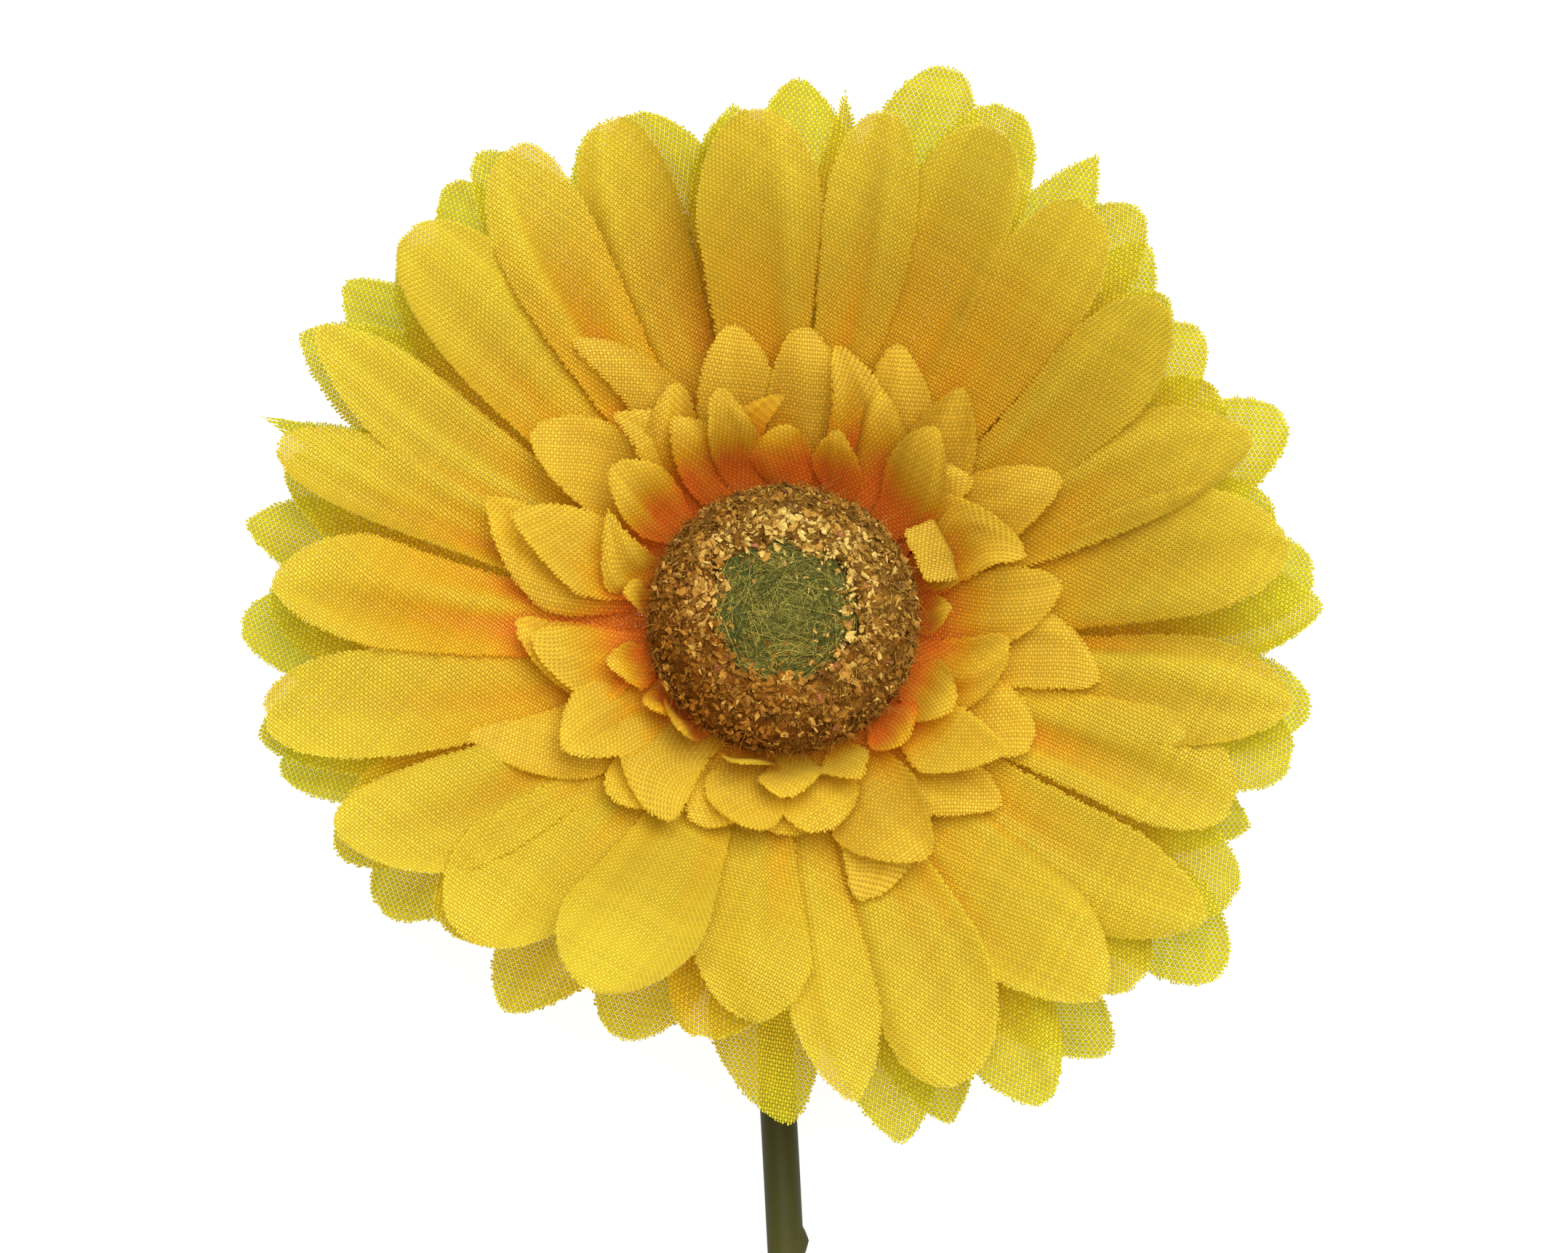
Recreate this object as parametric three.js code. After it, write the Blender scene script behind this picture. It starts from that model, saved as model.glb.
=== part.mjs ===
// An artificial gerbera on its stem, laid down on its back with the flower facing up.
// Six layers of die-cut cloth petals are threaded on the top of a wired plastic stem, between a green
// calyx below and a felted disc with a ring of glued crumbs above. The stem bends just under the calyx
// and runs along the table. Millimetres, +Z up, the table at z = 0, the stem's tail towards -Y.
import * as THREE from 'three';

// The head
const headLean = 9; // degrees that the flower's axis leans from upright towards +Y
const clothThickness = 0.6;
const fitGap = 0.3; // clear space between pieces that touch on the real flower
const layerStep = clothThickness + fitGap;
const petalRootRadius = 12.5; // the cloth is whole inside this radius and cut into petals outside it
const layerHoleRadius = 2.2;

// The stem
const stemRadius = 1.83;
const stemBoreRadius = 0.95;
const wireRadius = 0.6;
const stemLength = 400; // from the middle of the head to the tail, along the table
const bendRadius = 9;
const stemLift = 0.5; // how far the stem clears the table under the head
const stemTopHeight = 5; // the stem's top above the head's plane, inside the disc
const wireSetback = 0.4; // the wire ends this far inside the sheath
const stemWander = { sideways: 3.2, wavelength: 380, crossing: 57 };
const gateMarks = { places: [61, 172, 283], height: 0.55, length: 1.5, halfAngle: 32 };

// The disc
const discRadius = 13.7;
const discTop = 9.9;
const discWidestHeight = 4.2;
const crumbThickness = 0.9;
const crumbRelief = 0.32;
const crumbSegments = 48;
const discBottom = clothThickness / 2 + fitGap;

// The calyx
const calyx = {
  cupRadius: 8.6, sepals: 12, sepalReach: 4.2, rimThickness: 0.7, neckRadius: 3.1, height: 6.6,
};

// Angles round the head are degrees clockwise from +Y, seen from above. Each petal is
// [angle of its tip, reach of its tip from the axis, share of the full width, extra lift in degrees],
// the angle and reach as they look from straight above. The last two are 1 and 0 where left out.
const backPetals = [
  [1.5, 56.7], [16.2, 60.1], [32.3, 58.6], [44.6, 54.2], [56, 52.3], [67.3, 55.3], [85, 54.2], [99.6, 54.2],
  [113.5, 51.6], [128.1, 56.8], [144.2, 54.8], [160.8, 53.5], [181.5, 50.9], [200.8, 45.2], [217.7, 48.3],
  [236.5, 50.1], [253, 53.1], [270.4, 55], [281.9, 55.6], [292.3, 57.5, 0.6], [308, 57], [323.5, 57.3],
  [339.2, 55], [353.5, 54.1],
];
const middlePetals = [
  [7.3, 55.3, 0.6], [23.5, 57.8], [38.8, 55.8], [51, 51.3], [62, 50], [76, 51], [88.8, 54.5], [104.2, 53.1],
  [121.9, 53.3], [134, 51], [151.2, 55.3], [166.9, 54.1], [188, 42.8], [207.7, 41.6], [226, 46],
  [244.2, 50.6], [258.5, 54.1], [272, 52], [287, 53], [301.5, 57.2], [314, 54], [328.5, 57.5], [343.5, 54.7],
  [355, 52.6],
];
const frontPetals = [
  [10.5, 53.1], [22.7, 54.6], [36.5, 52.4], [49.2, 50.1], [66.5, 50.8], [80, 51.4], [98.8, 51.9],
  [111.5, 48.9], [126.9, 51.9], [140.5, 49.6], [159.5, 49.9], [172, 49, 0.75], [185, 40.6], [207, 41.7],
  [225, 45.2], [242, 49.4], [260, 53], [275.4, 51.6], [288.8, 54.1], [302.3, 55.8], [317.3, 55],
  [328.8, 55.8], [341.2, 54.5, 0.75], [357, 52.6],
];
const lowCollarPetals = [
  [4, 30.3, 1, 3], [21.4, 30.8, 1, 3], [37, 30], [63, 31.7], [82, 28.4], [96.2, 32.5, 1.3, -6], [114.5, 28.1],
  [134.8, 28.8, 1.1, -4], [162.9, 29.6, 1, -6], [179.8, 21.9, 1, -4], [201, 22.5, 1, -2], [224, 25],
  [247.5, 33.8, 1, -6], [268, 27], [291.4, 32.5, 1.2, -4], [307.8, 32.1, 1.2], [323.9, 35.8, 0.7, -4],
  [349.5, 30.9, 1, 3],
];
const middleCollarPetals = [
  [11.8, 28.7, 1.1, -3], [25.7, 25.4], [52.3, 24, 1, -3], [74, 25.5, 1.2], [97, 23], [122, 26.3],
  [148.4, 28.2, 1.3, -8], [170, 21], [190, 20.5], [211.7, 23.5, 1.2], [239.6, 25.9, 1.2, -4], [265.2, 25.5, 1, -4],
  [294.2, 29.5, 1.1, -4], [322.2, 27.2], [335, 26.8, 1, -2], [357.6, 23.2, 1, -4],
];
const highCollarPetals = [
  [358, 20], [19, 20.2, 0.8, 4], [38.5, 25, 1.1], [60, 17.4, 1, 14], [88, 19.5], [117, 19.5], [137.5, 17.6],
  [158, 19], [179.8, 18.3], [202, 15.5, 0.9, 20], [220, 15.5, 0.9, 20], [238, 18], [257.5, 18.5], [280, 18],
  [300, 21, 0.9], [314.6, 23.4, 1.1, -4], [333.4, 23.5, 1, -4], [344.8, 24.6, 1.1, 3],
];

// The pitch of a petal at its root, middle and tip, in degrees above the head's plane, blends along it.
// Petals at the lower left of the head stand up by their layer's standing angle more.
const standingPlace = { middle: 203, halfWidth: 42 };
const layers = [
  {
    name: 'petals_back', petals: backPetals, depth: 5, pitch: [0, -2, -7], standing: 8,
    halfWidth: 7.2, cup: 0.5, rib: 0, across: 2, colour: 0xe6cd58, legs: [32.3, 323.5],
  },
  {
    name: 'petals_middle', petals: middlePetals, depth: 4, pitch: [2, 17, 2], standing: 15,
    halfWidth: 7.2, cup: 0.6, rib: 0, across: 2, colour: 0xddb83a, legs: [],
  },
  {
    name: 'petals_front', petals: frontPetals, depth: 3, pitch: [5, 33, 7], standing: 24,
    halfWidth: 7.4, cup: 0.8, rib: 0.25, across: 4, colour: 0xe0bb36, legs: [],
  },
  {
    name: 'collar_low', petals: lowCollarPetals, depth: 2, pitch: [7, 54, 24], standing: 4,
    halfWidth: 7.2, cup: 0.7, rib: 0, across: 2, colour: 0xdfb131, legs: [],
  },
  {
    name: 'collar_middle', petals: middleCollarPetals, depth: 1, pitch: [10, 74, 36], standing: 2,
    halfWidth: 7.4, cup: 0.7, rib: 0, across: 2, colour: 0xdcac2f, legs: [],
  },
  {
    name: 'collar_high', petals: highCollarPetals, depth: 0, pitch: [15, 98, 60], standing: 0,
    halfWidth: 7.6, cup: 0.6, rib: 0, across: 2, colour: 0xd9a62d, legs: [],
  },
];
const petalStations = [0, 0.16, 0.36, 0.58, 0.8, 0.94, 1];
const collarStations = [0, 0.25, 0.55, 0.85, 1];
const tipStart = 0.72; // the rounded tip begins at this share of the petal's length
const tipSquareness = 2.4;
const tipWidth = 0.36; // the blunt end, as a share of the petal's width
const neighbourShares = { root: 0.43, rest: 0.47 }; // the most of its space that half a petal takes
const rootTurnShare = 0.6; // the share of a tip's sideways shift that its root has too

const { degToRad, lerp, smoothstep } = THREE.MathUtils;
const leanAngle = degToRad(headLean);
const turnOfBend = Math.PI / 2 - leanAngle;
const calyxTop = -((layers.length - 1) * layerStep + clothThickness / 2 + fitGap);
const calyxBottom = calyxTop - calyx.height;
const bendTop = stemRadius + stemLift + bendRadius * (1 - Math.cos(turnOfBend));
const bendDepth = -calyxBottom + 0.3; // the bend starts this far below the head's plane
const headHeight = bendTop + bendDepth * Math.cos(leanAngle);
const headY = bendDepth * Math.sin(leanAngle);

// A closed skin from corner points and triangles, turned outwards if its volume comes out negative.
function closedSkin(points, faces) {
  const sum = faces.reduce((total, [a, b, c]) => {
    const normal = new THREE.Vector3().crossVectors(points[b], points[c]);
    return total + points[a].dot(normal);
  }, 0);
  const outward = sum < 0 ? faces.map(([a, b, c]) => [a, c, b]) : faces;
  const geometry = new THREE.BufferGeometry();
  const corners = new Float32Array(points.flatMap((point) => point.toArray()));
  geometry.setAttribute('position', new THREE.BufferAttribute(corners, 3));
  geometry.setIndex(outward.flat());
  geometry.computeVertexNormals();
  return geometry;
}

// Rings of points joined in order. A bored loft closes on its first ring, any other ends in two caps.
function loft(rings, bored) {
  const sides = rings[0].length;
  const points = rings.flat();
  const faces = [];
  const links = bored ? rings.length : rings.length - 1;
  for (let k = 0; k < links; k += 1) {
    const here = k * sides;
    const next = ((k + 1) % rings.length) * sides;
    for (let i = 0; i < sides; i += 1) {
      const j = (i + 1) % sides;
      faces.push([here + i, here + j, next + j], [here + i, next + j, next + i]);
    }
  }
  if (!bored) {
    for (let i = 1; i < sides - 1; i += 1) {
      const end = (rings.length - 1) * sides;
      faces.push([0, i + 1, i], [end, end + i, end + i + 1]);
    }
  }
  return closedSkin(points, faces);
}

// A ring of points at one height round the head's axis, its radius constant or a function of the angle.
function levelRing(radius, height, segments) {
  return Array.from({ length: segments }, (_, i) => {
    const angle = (2 * Math.PI * i) / segments;
    const reach = typeof radius === 'function' ? radius(angle) : radius;
    return new THREE.Vector3(reach * Math.cos(angle), reach * Math.sin(angle), height);
  });
}

// Petals

function angleGap(from, to) {
  return (((to - from) % 360) + 360) % 360;
}

// The extra pitch of the petals that stand up at one side of the head.
function standingUp(angle, amount) {
  const away = Math.min(angleGap(standingPlace.middle, angle), angleGap(angle, standingPlace.middle));
  return amount * (1 - smoothstep(away, 0, standingPlace.halfWidth));
}

function blendPitch([root, middle, tip], along, lift) {
  const rest = 1 - along;
  return rest * rest * root + 2 * rest * along * middle + along * along * tip + lift * Math.min(1, 3 * along);
}

// The plain run of a petal's centre line for one millimetre of cloth: distance out and height at each
// share of its length, summed in short steps.
function centreLine(pitch, lift) {
  const steps = 40;
  const line = [{ out: 0, up: 0 }];
  for (let i = 0; i < steps; i += 1) {
    const angle = degToRad(blendPitch(pitch, (i + 0.5) / steps, lift));
    const last = line[i];
    line.push({ out: last.out + Math.cos(angle) / steps, up: last.up + Math.sin(angle) / steps });
  }
  return (along) => {
    const place = Math.min(along * steps, steps - 1e-9);
    const i = Math.floor(place);
    const part = place - i;
    return { out: lerp(line[i].out, line[i + 1].out, part), up: lerp(line[i].up, line[i + 1].up, part) };
  };
}

// A petal's own angles, length and centre line. The seen angle and reach are read from the middle of the
// disc's widest ring, and are corrected for the lean, which shows what is raised further towards +Y.
function petalPlan([seenAngle, seenReach, width = 1, lift = 0], layer, droop = 0) {
  const fullLift = lift + standingUp(seenAngle, layer.standing) - droop;
  const line = centreLine(layer.pitch, fullLift);
  const tip = line(1);
  const seen = degToRad(seenAngle);
  const tipRise = (tip.up / tip.out) * (1 - petalRootRadius / seenReach);
  const rise = tipRise - discWidestHeight / seenReach;
  const shift = rise * Math.sin(leanAngle);
  const angle = seen + Math.asin(shift * Math.sin(seen));
  const reach = seenReach / (Math.cos(angle - seen) + shift * Math.cos(seen));
  const length = (reach - petalRootRadius) / tip.out;
  return { angle: (angle * 180) / Math.PI, length, width, line };
}

// The die spaces the petals evenly, so their roots keep part of that even spacing.
function rootAngles(plans) {
  const pitch = 360 / plans.length;
  const shifts = plans.map((plan, i) => {
    const shift = angleGap(i * pitch, plan.angle);
    return shift > 180 ? shift - 360 : shift;
  });
  const turn = shifts.reduce((total, shift) => total + shift, 0) / plans.length;
  return plans.map((_, i) => i * pitch + turn + rootTurnShare * (shifts[i] - turn));
}

// A point of a petal's middle surface. The share along runs from root to tip, and across from -1 to 1.
function petalPoint(plan, layer, along, across) {
  const { out, up } = plan.line(along);
  const radius = petalRootRadius + plan.length * out;
  const flatRadius = petalRootRadius + plan.length * along;
  const turn = smoothstep(along, 0, 1);
  const angle = degToRad(lerp(plan.rootAngle, plan.tipAngle, turn));
  const tip = Math.max(0, (along - tipStart) / (1 - tipStart));
  const rounding = Math.max(tipWidth, Math.sqrt(1 - tip ** tipSquareness));
  const cut = flatRadius * Math.tan(degToRad(layer.halfWidth)) * plan.width * rounding;
  const space = degToRad(lerp(plan.rootSpace, plan.tipSpace, turn)) * radius;
  const share = lerp(neighbourShares.root, neighbourShares.rest, smoothstep(along, 0, 0.2));
  const halfWidth = Math.min(cut, share * space);
  const slope = plan.line(Math.min(1, along + 0.02));
  const before = plan.line(Math.max(0, along - 0.02));
  const pitch = Math.atan2(slope.up - before.up, slope.out - before.out);
  const relief = smoothstep(along, 0, 0.4);
  const raise = relief * (layer.cup * (across * across - 0.4) - layer.rib * Math.cos(2 * Math.PI * across));
  const outward = radius - raise * Math.sin(pitch);
  const height = -layer.depth * layerStep + plan.length * up + raise * Math.cos(pitch);
  return new THREE.Vector3(
    outward * Math.sin(angle) + across * halfWidth * Math.cos(angle),
    outward * Math.cos(angle) - across * halfWidth * Math.sin(angle),
    height,
  );
}

// The two faces of the cloth at one point, half its thickness to each side of the middle surface.
function clothFaces(plan, layer, along, across) {
  const small = 0.01;
  const point = petalPoint(plan, layer, along, across);
  if (along === 0) {
    const half = new THREE.Vector3(0, 0, clothThickness / 2);
    return [point.clone().add(half), point.clone().sub(half)];
  }
  const outer = petalPoint(plan, layer, Math.min(1, along + small), across);
  const inner = petalPoint(plan, layer, along - small, across);
  const right = petalPoint(plan, layer, along, Math.min(1, across + small));
  const left = petalPoint(plan, layer, along, Math.max(-1, across - small));
  const normal = new THREE.Vector3().crossVectors(right.sub(left), outer.sub(inner)).normalize();
  normal.multiplyScalar(clothThickness / 2);
  return [point.clone().add(normal), point.clone().sub(normal)];
}

function petalPlans(layer) {
  const plans = layer.petals.map((petal) => {
    const leg = layer.legs.includes(petal[0]);
    return petalPlan(petal, layer, leg ? droopToTable(petal, layer) : 0);
  });
  const roots = rootAngles(plans);
  return plans.map((plan, i) => {
    const before = (i + plans.length - 1) % plans.length;
    const after = (i + 1) % plans.length;
    return {
      ...plan,
      rootAngle: roots[i],
      tipAngle: roots[i] + ((plan.angle - roots[i] + 540) % 360) - 180,
      rootSpace: Math.min(angleGap(roots[before], roots[i]), angleGap(roots[i], roots[after])),
      tipSpace: Math.min(angleGap(plans[before].angle, plan.angle), angleGap(plan.angle, plans[after].angle)),
    };
  });
}

// A petal that carries the head droops until the underside of its tip touches the table.
function droopToTable(petal, layer) {
  const lowest = (droop) => {
    const plan = petalPlan(petal, layer, droop);
    const lone = { ...plan, rootAngle: plan.angle, tipAngle: plan.angle, rootSpace: 12, tipSpace: 12 };
    const heights = [-1, 0, 1].map((across) => {
      const under = clothFaces(lone, layer, 1, across)[1];
      return headHeight + under.z * Math.cos(leanAngle) - under.y * Math.sin(leanAngle);
    });
    return Math.min(...heights);
  };
  let [low, high] = [0, 30];
  for (let i = 0; i < 40; i += 1) {
    const middle = (low + high) / 2;
    if (lowest(middle) > 0) low = middle;
    else high = middle;
  }
  return low;
}

// One die-cut layer: a disc of cloth with a hole for the stem, and its petals, as a single sheet. The two
// faces are split into the same triangles.
function petalLayer(layer) {
  const plans = petalPlans(layer);
  const stations = layer.petals.length > 20 ? petalStations : collarStations;
  const columns = layer.across + 1;
  const points = [];
  const faces = [];
  const addFaces = ([top, under]) => {
    points.push(top, under);
    return points.length - 2;
  };
  // A triangle of the top face, with its twin on the underside. Under points follow their top points.
  const addBoth = (a, b, c) => faces.push([a, b, c], [a + 1, c + 1, b + 1]);
  const addWall = (a, b) => faces.push([a, b + 1, a + 1], [a, b, b + 1]);
  const half = new THREE.Vector3(0, 0, clothThickness / 2);
  const hole = plans.map((plan, i) => {
    const before = plans[(i + plans.length - 1) % plans.length];
    const angle = degToRad(plan.rootAngle - angleGap(before.rootAngle, plan.rootAngle) / 2);
    const edge = new THREE.Vector3(Math.sin(angle), Math.cos(angle), 0).multiplyScalar(layerHoleRadius);
    edge.z = -layer.depth * layerStep;
    return addFaces([edge.clone().add(half), edge.clone().sub(half)]);
  });
  const shares = Array.from({ length: columns }, (_, k) => (2 * k) / layer.across - 1);
  const grids = plans.map((plan) => stations.map((along) => (
    shares.map((across) => addFaces(clothFaces(plan, layer, along, across)))
  )));
  grids.forEach((grid, i) => {
    const root = grid[0];
    const nextRoot = grids[(i + 1) % grids.length][0];
    const nextHole = hole[(i + 1) % hole.length];
    const middle = Math.floor(columns / 2);
    for (let k = 0; k < columns - 1; k += 1) addBoth(k < middle ? hole[i] : nextHole, root[k + 1], root[k]);
    addBoth(hole[i], nextHole, root[middle]);
    addBoth(nextHole, nextRoot[0], root[columns - 1]);
    addWall(nextHole, hole[i]);
    addWall(root[columns - 1], nextRoot[0]);
    for (let j = 0; j < stations.length - 1; j += 1) {
      for (let k = 0; k < columns - 1; k += 1) {
        addBoth(grid[j][k], grid[j][k + 1], grid[j + 1][k + 1]);
        addBoth(grid[j][k], grid[j + 1][k + 1], grid[j + 1][k]);
      }
      addWall(grid[j + 1][columns - 1], grid[j][columns - 1]);
      addWall(grid[j][0], grid[j + 1][0]);
    }
    const tip = grid[stations.length - 1];
    for (let k = 0; k < columns - 1; k += 1) addWall(tip[k], tip[k + 1]);
  });
  return closedSkin(points, faces);
}

// Disc

// The outside of the crumb ring from its foot to the edge of its opening, as [radius, height].
const crumbProfile = [
  [discRadius - 1.9, 1], [discRadius - 0.5, 2.3], [discRadius, discWidestHeight], [discRadius - 0.5, 6.1],
  [discRadius - 1.6, 7.8], [discRadius - 3.4, 9.2], [discRadius - 5.1, discTop], [7.6, discTop + 0.05],
];

// A profile drawn inwards by a distance, square to its line, with every other point left out.
function insetProfile(profile, distance) {
  const last = profile.length - 1;
  const inset = profile.map(([radius, height], i) => {
    const [r0, h0] = profile[Math.max(0, i - 1)];
    const [r1, h1] = profile[Math.min(last, i + 1)];
    const run = Math.hypot(r1 - r0, h1 - h0);
    return [radius - (distance * (h1 - h0)) / run, height + (distance * (r1 - r0)) / run];
  });
  return inset.filter((_, i) => i % 2 === 0 || i === last);
}

// Low lumps from a few waves that run both round the ring and over its shoulder.
function crumbLump(angle, row) {
  const wave = Math.sin(17 * angle + 2.1 * row) + Math.sin(23 * angle - 3.7 * row + 1);
  return (crumbRelief / 2) * wave;
}

function crumbRing() {
  const inner = insetProfile(crumbProfile, crumbThickness);
  const outerRings = crumbProfile.map(([radius, height], row) => {
    const rough = row > 0 && row < crumbProfile.length - 1;
    const lumpy = (angle) => radius + (rough ? crumbLump(angle, row) : 0);
    return levelRing(lumpy, height, crumbSegments);
  });
  const innerRings = inner.reverse().map(([radius, height]) => levelRing(radius, height, crumbSegments));
  return loft([...outerRings, ...innerRings], true);
}

// The felted core fills the crumb ring and shows its domed top in the opening. A blind socket in its foot
// takes the stem.
function discCore() {
  const socketRadius = stemRadius + fitGap + 0.1;
  const side = insetProfile(crumbProfile, crumbThickness + fitGap);
  const top = side[side.length - 1];
  const segments = 30;
  const outline = [
    [0.4, stemTopHeight + 0.6], [socketRadius, stemTopHeight + 0.6], [socketRadius, discBottom],
    [side[0][0] - 0.3, discBottom], ...side, [4.2, top[1] + 0.3], [0.6, top[1] + 0.45],
  ];
  return loft(outline.map(([radius, height]) => levelRing(radius, height, segments)), false);
}

// Calyx

// A cup under the petals with pointed sepals round its rim, bored for the stem.
function calyxCup() {
  const segments = calyx.sepals * 4;
  const sepalRim = (angle) => {
    const phase = Math.abs((((angle * calyx.sepals) / (2 * Math.PI)) % 1) - 0.5) * 2;
    return calyx.cupRadius + calyx.sepalReach * (1 - phase) ** 0.8;
  };
  const bore = stemRadius + fitGap + 0.05;
  const { cupRadius, neckRadius, rimThickness, height } = calyx;
  const outline = [
    [bore, calyxTop], [sepalRim, calyxTop], [sepalRim, calyxTop - rimThickness],
    [cupRadius - 0.4, calyxTop - rimThickness - 0.5], [cupRadius * 0.84, calyxTop - height * 0.42],
    [cupRadius * 0.55, calyxTop - height * 0.72], [neckRadius, calyxTop - height * 0.84],
    [neckRadius, calyxBottom], [bore, calyxBottom],
  ];
  return loft(outline.map(([radius, level]) => levelRing(radius, level, segments)), true);
}

// Stem

// The stem's centre line from its top in the disc, down through the calyx, round the bend and along the
// table. Each station has its place and its distance from the head along the table.
function stemStations(setback) {
  const axis = new THREE.Vector3(0, Math.sin(leanAngle), Math.cos(leanAngle));
  const head = new THREE.Vector3(0, headY, headHeight);
  const bendCentre = { y: -bendRadius * Math.sin(turnOfBend), z: stemRadius + stemLift + bendRadius };
  const places = [stemTopHeight - setback, 0, -bendDepth / 2].map((height) => (
    head.clone().addScaledVector(axis, height)
  ));
  const bendSteps = 7;
  for (let i = 0; i <= bendSteps; i += 1) {
    const angle = turnOfBend * (1 - i / bendSteps);
    const y = bendCentre.y + bendRadius * Math.sin(angle);
    places.push(new THREE.Vector3(0, y, bendCentre.z - bendRadius * Math.cos(angle)));
  }
  const runSteps = 16;
  const runStart = -bendCentre.y;
  const runEnd = stemLength - setback;
  const marks = gateMarks.places.flatMap((place) => [-1, 0, 1].map((k) => place + k * gateMarks.length));
  const shares = Array.from({ length: runSteps }, (_, i) => ((i + 1) / runSteps) ** 1.1);
  const plain = shares.map((share) => lerp(runStart, runEnd, share));
  const far = plain.filter((run) => marks.every((mark) => Math.abs(mark - run) > 2.5));
  [...far, ...marks].sort((a, b) => a - b).forEach((run) => {
    const { sideways, wavelength, crossing } = stemWander;
    const settled = smoothstep(run, runStart, 50);
    const x = sideways * Math.sin((2 * Math.PI * (run - crossing)) / wavelength) * settled;
    const z = stemRadius + stemLift * (1 - (run - runStart) / (stemLength - runStart));
    places.push(new THREE.Vector3(x, -run, z));
  });
  return places;
}

// A ring of points square to the centre line. Its angle runs from the stem's own right hand side.
function stemRing(places, index, radius, sides) {
  const before = places[Math.max(0, index - 1)];
  const after = places[Math.min(places.length - 1, index + 1)];
  const along = after.clone().sub(before).normalize();
  const up = new THREE.Vector3().crossVectors(new THREE.Vector3(1, 0, 0), along).normalize();
  const right = new THREE.Vector3().crossVectors(along, up);
  return Array.from({ length: sides }, (_, i) => {
    const angle = (2 * Math.PI * (i + 0.5)) / sides;
    const reach = typeof radius === 'function' ? radius(angle, -places[index].y) : radius;
    return places[index].clone().addScaledVector(right, reach * Math.cos(angle))
      .addScaledVector(up, reach * Math.sin(angle));
  });
}

// The sheath's radius, with a low gate mark left by the mould at each marked place on its right side.
function sheathRadius(angle, run) {
  const near = gateMarks.places.find((place) => Math.abs(place - run) < gateMarks.length * 0.9);
  if (near === undefined) return stemRadius;
  const off = Math.abs(((angle + Math.PI) % (2 * Math.PI)) - Math.PI);
  const round = 1 - smoothstep(off, 0, degToRad(gateMarks.halfAngle));
  const lengthwise = 1 - Math.abs(near - run) / gateMarks.length;
  return stemRadius + gateMarks.height * round * lengthwise;
}

function stemSheath() {
  const sides = 10;
  const places = stemStations(0);
  const outside = places.map((_, i) => stemRing(places, i, sheathRadius, sides));
  const bore = places.map((_, i) => stemRing(places, i, stemBoreRadius, sides)).reverse();
  return loft([...outside, ...bore], true);
}

function stemWire() {
  const places = stemStations(wireSetback);
  return loft(places.map((_, i) => stemRing(places, i, wireRadius, 6)), false);
}

// Assembly

function finish(colour, roughness, metalness = 0) {
  return new THREE.MeshStandardMaterial({ color: colour, roughness, metalness });
}

function piece(name, geometry, material) {
  const mesh = new THREE.Mesh(geometry, material);
  mesh.name = name;
  return mesh;
}

const head = new THREE.Group();
head.position.set(0, headY, headHeight);
head.rotation.x = -leanAngle;
layers.forEach((layer) => head.add(piece(layer.name, petalLayer(layer), finish(layer.colour, 0.7))));
head.add(piece('disc_core', discCore(), finish(0x6e6a2d, 0.95)));
head.add(piece('crumb_ring', crumbRing(), finish(0x9a6a2c, 0.95)));
head.add(piece('calyx', calyxCup(), finish(0x5d6a2a, 0.55)));

const flower = new THREE.Group();
flower.add(head);
flower.add(piece('stem', stemSheath(), finish(0x4a4720, 0.5)));
flower.add(piece('stem_wire', stemWire(), finish(0x8c8f91, 0.35, 0.9)));

// The origin is under the middle of the whole flower, on the table.
flower.updateMatrixWorld(true);
const extent = new THREE.Box3().setFromObject(flower, true);
flower.position.set(-(extent.min.x + extent.max.x) / 2, -(extent.min.y + extent.max.y) / 2, -extent.min.z);
flower.updateMatrixWorld(true);

export default flower;
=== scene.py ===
import bpy
import numpy as np
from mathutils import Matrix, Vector


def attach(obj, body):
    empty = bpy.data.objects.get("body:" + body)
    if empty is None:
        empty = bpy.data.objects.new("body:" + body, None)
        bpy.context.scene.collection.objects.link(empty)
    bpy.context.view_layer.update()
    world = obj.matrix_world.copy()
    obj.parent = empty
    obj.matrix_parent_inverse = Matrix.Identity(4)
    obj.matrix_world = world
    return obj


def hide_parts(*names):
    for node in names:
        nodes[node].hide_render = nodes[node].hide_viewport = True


# An artificial gerbera on its back: woven cloth petals round a felted disc with glued crumbs, on a plastic
# calyx and a wired stem. Shapes are worked out in millimetres and written to the meshes in metres.

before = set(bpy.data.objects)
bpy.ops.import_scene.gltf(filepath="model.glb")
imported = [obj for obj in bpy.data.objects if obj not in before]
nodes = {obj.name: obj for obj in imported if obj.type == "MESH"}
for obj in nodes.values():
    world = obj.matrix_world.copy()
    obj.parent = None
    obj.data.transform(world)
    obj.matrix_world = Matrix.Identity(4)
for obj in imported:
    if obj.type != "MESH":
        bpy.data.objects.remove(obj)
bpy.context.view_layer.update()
mm = 0.001

# The head's middle and lean, and the stack of cloth on the stem, as in the part's source.
head = {
    "place": (0.303, 172.049, 21.774),
    "lean": 9,
    "layerStep": 0.9,
    "rootRadius": 12.5,  # the cloth is whole inside this radius and cut into petals outside it
    "holeRadius": 2.2,
    "discWidestHeight": 4.2,
}
leanAngle = np.radians(head["lean"])


# Helpers for numbers and meshes


def smoothStep(x, low=0.0, high=1.0):
    # 0 below low, 1 above high, and 3t^2 - 2t^3 between them
    t = np.clip((x - low) / (high - low), 0, 1)
    return t * t * (3 - 2 * t)


def mix(a, b, share):
    # From a at share 0 to b at share 1 in a straight line
    return a + (b - a) * share


def unit(vectors):
    # Vectors divided by their own lengths
    return vectors / np.maximum(np.linalg.norm(vectors, axis=-1, keepdims=True), 1e-12)


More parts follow.
